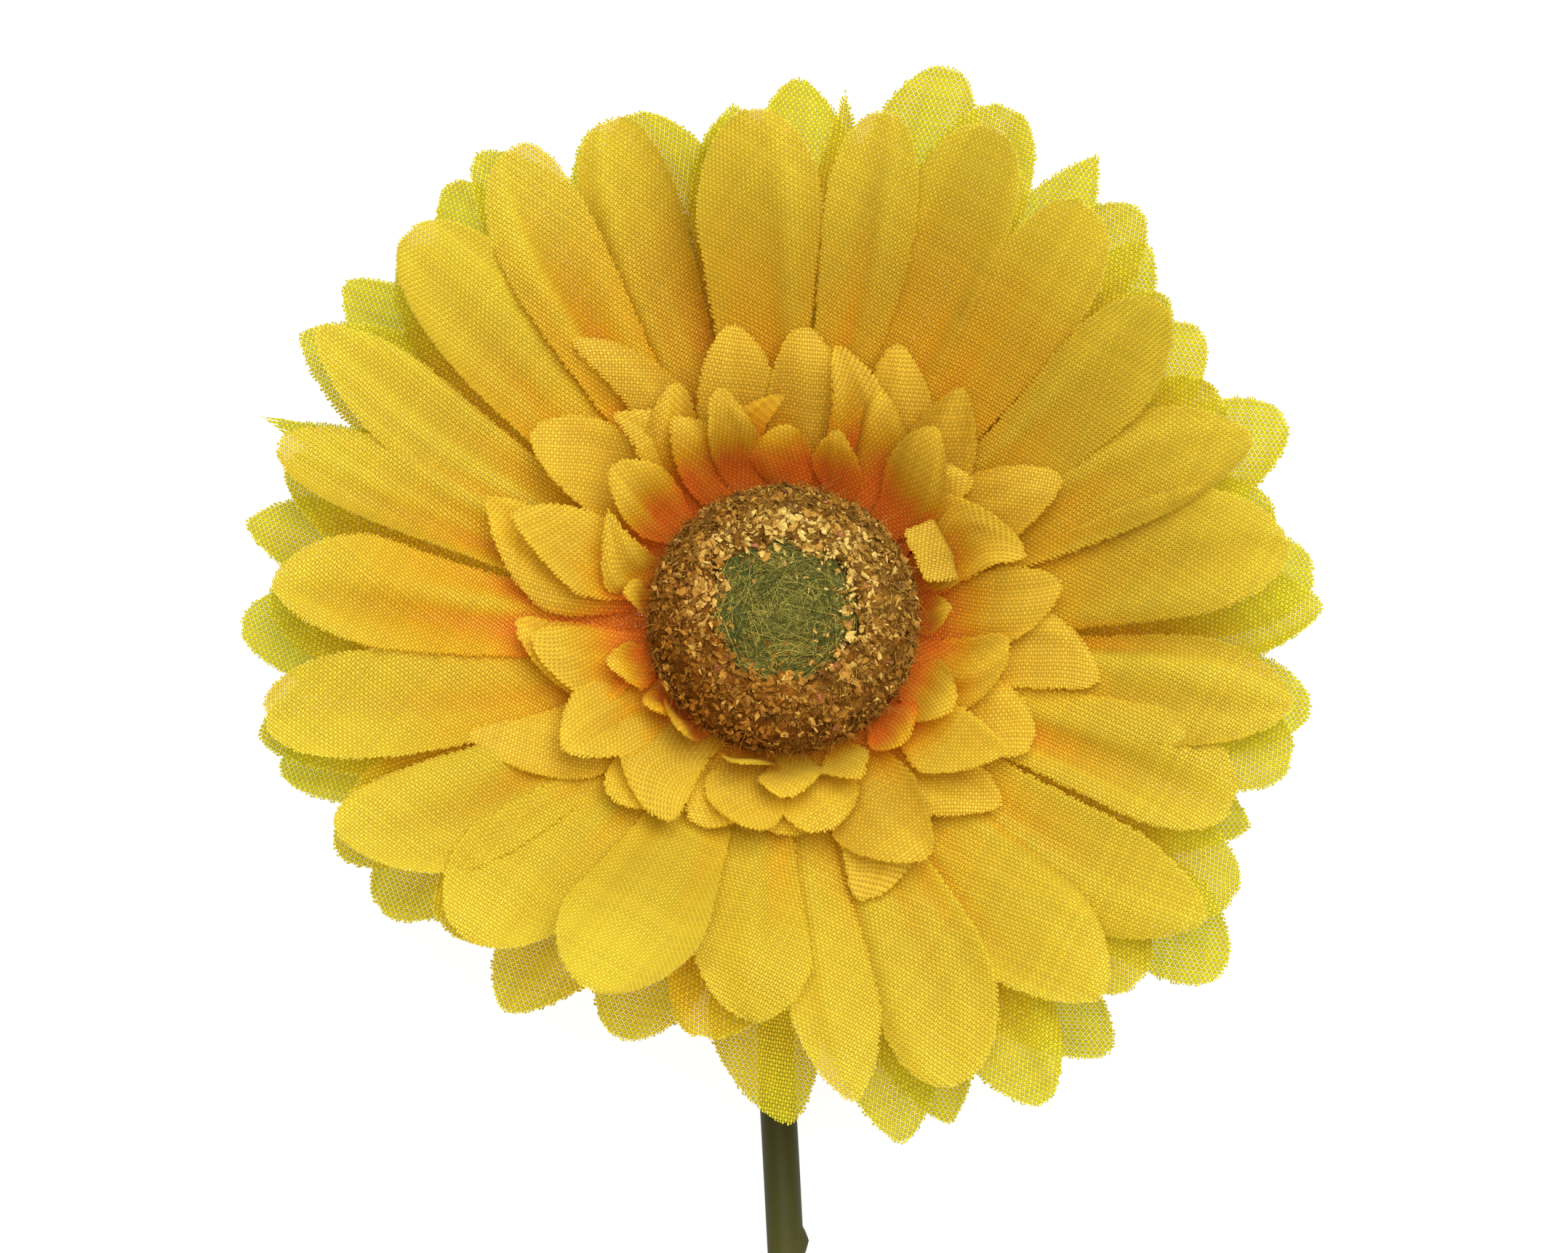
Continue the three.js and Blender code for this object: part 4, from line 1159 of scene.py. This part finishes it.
def plasticMaterial(name, piece):
    # Moulded plastic: two shades in soft patches and a low orange-peel bump
    material, tree = newMaterial(name)
    place = objectPlace(tree)
    broad = noise(tree, place, piece["patches"], 3.0)
    rough = piece["roughness"]
    surface = {
        "Base Color": blend(tree, mapped(tree, broad, 0.35, 0.65), *piece["tones"]),
        "Roughness": mapped(tree, broad, 0.3, 0.7, rough - 0.06, rough + 0.08),
        "Normal": bump(tree, noise(tree, place, 1800.0, 3.0), 0.00008, 0.4),
        "Specular IOR Level": 0.2,
    }
    return finished(material, principled(tree, surface))


def makeCalyx():
    # The cup's outline carried round the axis, its rim drawn out into sepals: the reach follows a rounded
    # triangle wave, and each sepal has a low rib down its middle.
    columns = calyx["columns"]
    angles = turnsOf(columns)
    # The part counts this turn from +X anticlockwise, so it is turned to match.
    wave = np.abs((((np.pi / 2 - angles) * calyx["sepals"] / (2 * np.pi)) % 1) - 0.5) * 2
    sepal = calyx["sepalReach"] * (1 - wave) ** 0.8
    rib = calyx["rib"] * (1 - smoothStep(wave, 0, 0.75))
    top, height, bore = calyx["top"], calyx["height"], calyx["bore"]
    cup, neck = calyx["radius"], calyx["neckRadius"]
    under, bottom = top - calyx["rimThickness"], top - height
    # Each row is a radius, a level, a share of the sepals' reach and a share of their rib.
    outline = [
        (bore, top, 0, 0), (4.5, top, 0, 0), (7.0, top, 0, 0), (cup - 0.5, top, 0.6, 0),
        (cup, top, 0.99, 0), (cup, top - 0.12, 1, 0), (cup, under + 0.12, 1, 0.2), (cup, under, 0.985, 0.6),
        (cup - 0.1, under - 0.15, 0.55, 1), (cup - 0.4, under - 0.5, 0, 1),
        (cup * 0.93, top - height * 0.27, 0, 0.8), (cup * 0.84, top - height * 0.42, 0, 0.5),
        (cup * 0.7, top - height * 0.58, 0, 0.2), (cup * 0.55, top - height * 0.72, 0, 0),
        (cup * 0.43, top - height * 0.79, 0, 0), (neck, top - height * 0.84, 0, 0),
        (neck, bottom + 0.15, 0, 0), (neck - 0.15, bottom, 0, 0), (bore, bottom, 0, 0),
    ]
    radius, level, reach, ribbed = np.array(outline).T[..., None]
    rings = np.stack([radius + sepal * reach, level - rib * ribbed], axis=-1)
    points = roundHead(angles, rings).reshape(-1, 3)
    material = plasticMaterial("calyx plastic", calyx)
    made = buildObject("calyx_cup", fromHead(points), [closedLoop(len(outline), columns)], material)
    made.data.set_sharp_from_angle(angle=np.radians(calyx["crease"]))
    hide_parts("calyx")
    print("calyx made")


# Stem

stem = {
    "radius": 1.83,  # mm
    "bore": 0.95,
    "length": 400,  # from under the head's middle to the tail
    "bendRadius": 9,
    "lift": 0.5,  # of its underside off the table at the bend
    "topHeight": 5,  # above the head's middle
    "bendDepth": 12.0,  # below the head's middle
    "wander": (3.2, 380, 57),  # sideways, wavelength and where it crosses the middle
    "gateMarks": (61, 172, 283),
    "gateHeight": 0.55,
    "gateLength": 1.5,
    "gateHalfAngle": 32,
    "seamHeight": 0.05,
    "seamWidth": 0.12,  # radians
    "waviness": 0.035,
    "tailRounding": 0.12,
    "sides": 36,
    "crease": 50,
    "tones": ((0.045, 0.046, 0.009, 1), (0.066, 0.066, 0.014, 1)),
    "roughness": 0.6,
    "patches": 60.0,
    "wireTones": ((0.3, 0.3, 0.31, 1), (0.5, 0.5, 0.52, 1)),
}


def stemLine():
    # Down the head's axis, round an arc, then along the table on a long sine, with rows 2 mm apart and
    # closer at the bend and the gate marks. Also gives how far along the table each row is.
    radius, lift, bend, depth = (stem[name] for name in ("radius", "lift", "bendRadius", "bendDepth"))
    turn = np.pi / 2 - leanAngle
    headY = depth * np.sin(leanAngle)
    headZ = radius + lift + bend * (1 - np.cos(turn)) + depth * np.cos(leanAngle)
    down = np.linspace(stem["topHeight"], -depth, 9)[:-1]
    axis = np.stack([down * 0, headY + down * np.sin(leanAngle), headZ + down * np.cos(leanAngle)], axis=1)
    arc = turn * (1 - np.linspace(0, 1, 28))[:-1]
    start, centreZ = bend * np.sin(turn), radius + lift + bend
    bent = np.stack([arc * 0, bend * np.sin(arc) - start, centreZ - bend * np.cos(arc)], axis=1)
    marks = np.concatenate([np.linspace(g - 2, g + 2, 9) for g in stem["gateMarks"]])
    run = np.unique(np.concatenate([np.linspace(start, stem["length"], 190), marks]))
    sideways, wavelength, crossing = stem["wander"]
    x = sideways * np.sin(2 * np.pi * (run - crossing) / wavelength) * smoothStep(run, start, 50)
    z = radius + lift * (1 - (run - start) / (stem["length"] - start))
    line = np.concatenate([axis, bent, np.stack([x, -run, z], axis=1)])
    return line + np.array(head["place"]) - [0, headY, headZ], -line[:, 1]


def stemRadius(run, angles):
    # The stem's radius, with two mould seams, each exp(-(angle away / width)^2), gate marks on its right
    # side that fade out lengthwise and round it, and a slight waviness
    off = np.abs((angles + np.pi) % (2 * np.pi) - np.pi)
    seams = sum(np.exp(-((away / stem["seamWidth"]) ** 2)) for away in (off, np.pi - off))
    radius = stem["radius"] + stem["seamHeight"] * seams + 0 * run[:, None]
    across = 1 - smoothStep(off, 0, np.radians(stem["gateHalfAngle"]))
    for place in stem["gateMarks"]:
        lengthwise = np.clip(1 - np.abs(run - place) / stem["gateLength"], 0, 1) ** 0.8
        radius = radius + stem["gateHeight"] * lengthwise[:, None] * across
    around, along = np.meshgrid(angles, 0.12 * run)
    radius = radius + stem["waviness"] * softNoise(np.stack([around, along, 0 * around], axis=-1), 0.9, 41)
    radius[-1] -= stem["tailRounding"]
    return radius


def wireMaterial():
    # Drawn steel: noise stretched twenty times along the wire
    material, tree = newMaterial("drawn wire")
    drawn = addNode(tree, "Mapping", {"Vector": objectPlace(tree), "Scale": (1, 0.05, 1)}).outputs[0]
    lines = noise(tree, drawn, 4000.0, 2.0)
    surface = {
        "Base Color": blend(tree, lines, *stem["wireTones"]),
        "Metallic": 0.9,
        "Roughness": mapped(tree, lines, 0.3, 0.7, 0.3, 0.5),
    }
    return finished(material, principled(tree, surface))


def makeStem():
    # A circle round each row of the line: place + radius (cos t right + sin t up), outside and bore
    line, run = stemLine()
    tangent = unit(np.concatenate([line[1:], line[-1:]]) - np.concatenate([line[:1], line[:-1]]))
    up = unit(np.cross([1.0, 0, 0], tangent))
    right = np.cross(tangent, up)
    angles = turnsOf(stem["sides"])
    turned = np.cos(angles)[:, None] * right[:, None] + np.sin(angles)[:, None] * up[:, None]
    outside = stemRadius(run, angles)
    bore = np.full_like(outside, stem["bore"])
    outside, bore = (line[:, None] + turned * radius[..., None] for radius in (outside, bore))
    rings = np.concatenate([outside, bore[::-1]])
    material = plasticMaterial("stem plastic", stem)
    made = buildObject("stem_sheath", rings.reshape(-1, 3), [closedLoop(*rings.shape[:2])], material)
    made.data.set_sharp_from_angle(angle=np.radians(stem["crease"]))
    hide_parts("stem")
    wireMaterials = nodes["stem_wire"].data.materials
    wireMaterials.clear()
    wireMaterials.append(wireMaterial())
    print("stem made")


# Stage: a white floor that glows a little, as a light table does, soft light from the top of the picture
# and a camera that looks straight down.

stageSet = {
    "pixel": 0.0733,  # mm at the head for one pixel of the photograph
    "imageWidth": 2156,
    "cameraDistance": 1500,
    "lookAt": (0.38, 171.97),
    "sensor": 36,
    "world": 0.37,
    "bounce": (1, 0.88, 0.7),
    # Places are in metres from the head.
    "lamps": {
        "key": {"place": (0.26, 0.6, 1.12), "size": 0.95, "power": 18.7, "colour": (1, 1, 1)},
        "front": {"place": (0.05, 0.05, 1.3), "size": 0.8, "power": 10.5, "colour": (1, 0.95, 0.85)},
    },
    "floorGlow": 0.93,
    "floorReach": 4.0,
    "floorDrop": 0.0001,
}


def link(name, data, place):
    # An object at a place, in the scene
    made = bpy.data.objects.new(name, data)
    made.location = place
    bpy.context.scene.collection.objects.link(made)
    return made


def addLamp(name, settings):
    # A square lamp turned towards the head, with its top towards +Y
    lamp = bpy.data.lights.new(name, "AREA")
    lamp.shape = "SQUARE"
    lamp.size = settings["size"]
    lamp.energy = settings["power"]
    lamp.color = settings["colour"]
    made = link(name, lamp, np.array(head["place"]) * mm + settings["place"])
    towardsHead = -np.array(settings["place"])
    made.rotation_euler = Vector(towardsHead).to_track_quat("-Z", "Y").to_euler()


def makeFloor():
    # A white sheet that glows a little
    mesh = bpy.data.meshes.new("floor")
    corners = np.array([(-1, -1, 0), (1, -1, 0), (1, 1, 0), (-1, 1, 0)]) * stageSet["floorReach"]
    mesh.from_pydata(corners, [], [(0, 1, 2, 3)])
    material, tree = newMaterial("white floor")
    glow = {
        "Base Color": (0.15, 0.15, 0.15, 1),
        "Roughness": 0.9,
        "Emission Color": (1, 1, 1, 1),
        "Emission Strength": stageSet["floorGlow"],
        "Specular IOR Level": 0.1,
    }
    mesh.materials.append(finished(material, principled(tree, glow)))
    floor = link("floor", mesh, (0, 0, -stageSet["floorDrop"]))


def makeStage():
    # The camera's lens is its sensor's width times its distance over the width that it sees.
    scene = bpy.context.scene
    makeFloor()
    world = bpy.data.worlds.new("studio")
    world.use_nodes = True
    background = world.node_tree.nodes["Background"].inputs
    background["Color"].default_value = (*stageSet["bounce"], 1)
    background["Strength"].default_value = stageSet["world"]
    scene.world = world
    for name, settings in stageSet["lamps"].items():
        addLamp(name, settings)

    camera = bpy.data.cameras.new("camera")
    camera.sensor_width = stageSet["sensor"]
    camera.sensor_fit = "HORIZONTAL"
    distance = stageSet["cameraDistance"]
    camera.lens = stageSet["sensor"] * distance / (stageSet["pixel"] * stageSet["imageWidth"])
    camera.clip_end = 20
    place = np.array([*stageSet["lookAt"], head["place"][2] + distance]) * mm
    scene.camera = link("camera", camera, place)
    scene.view_settings.view_transform = "Standard"
    scene.view_settings.look = "None"
    print("stage set")


makeCalyx()
for sheet in sheets:
    makeSheet(sheet, cloths[sheet["cloth"]])
makeDisc()
makeStem()
makeStage()
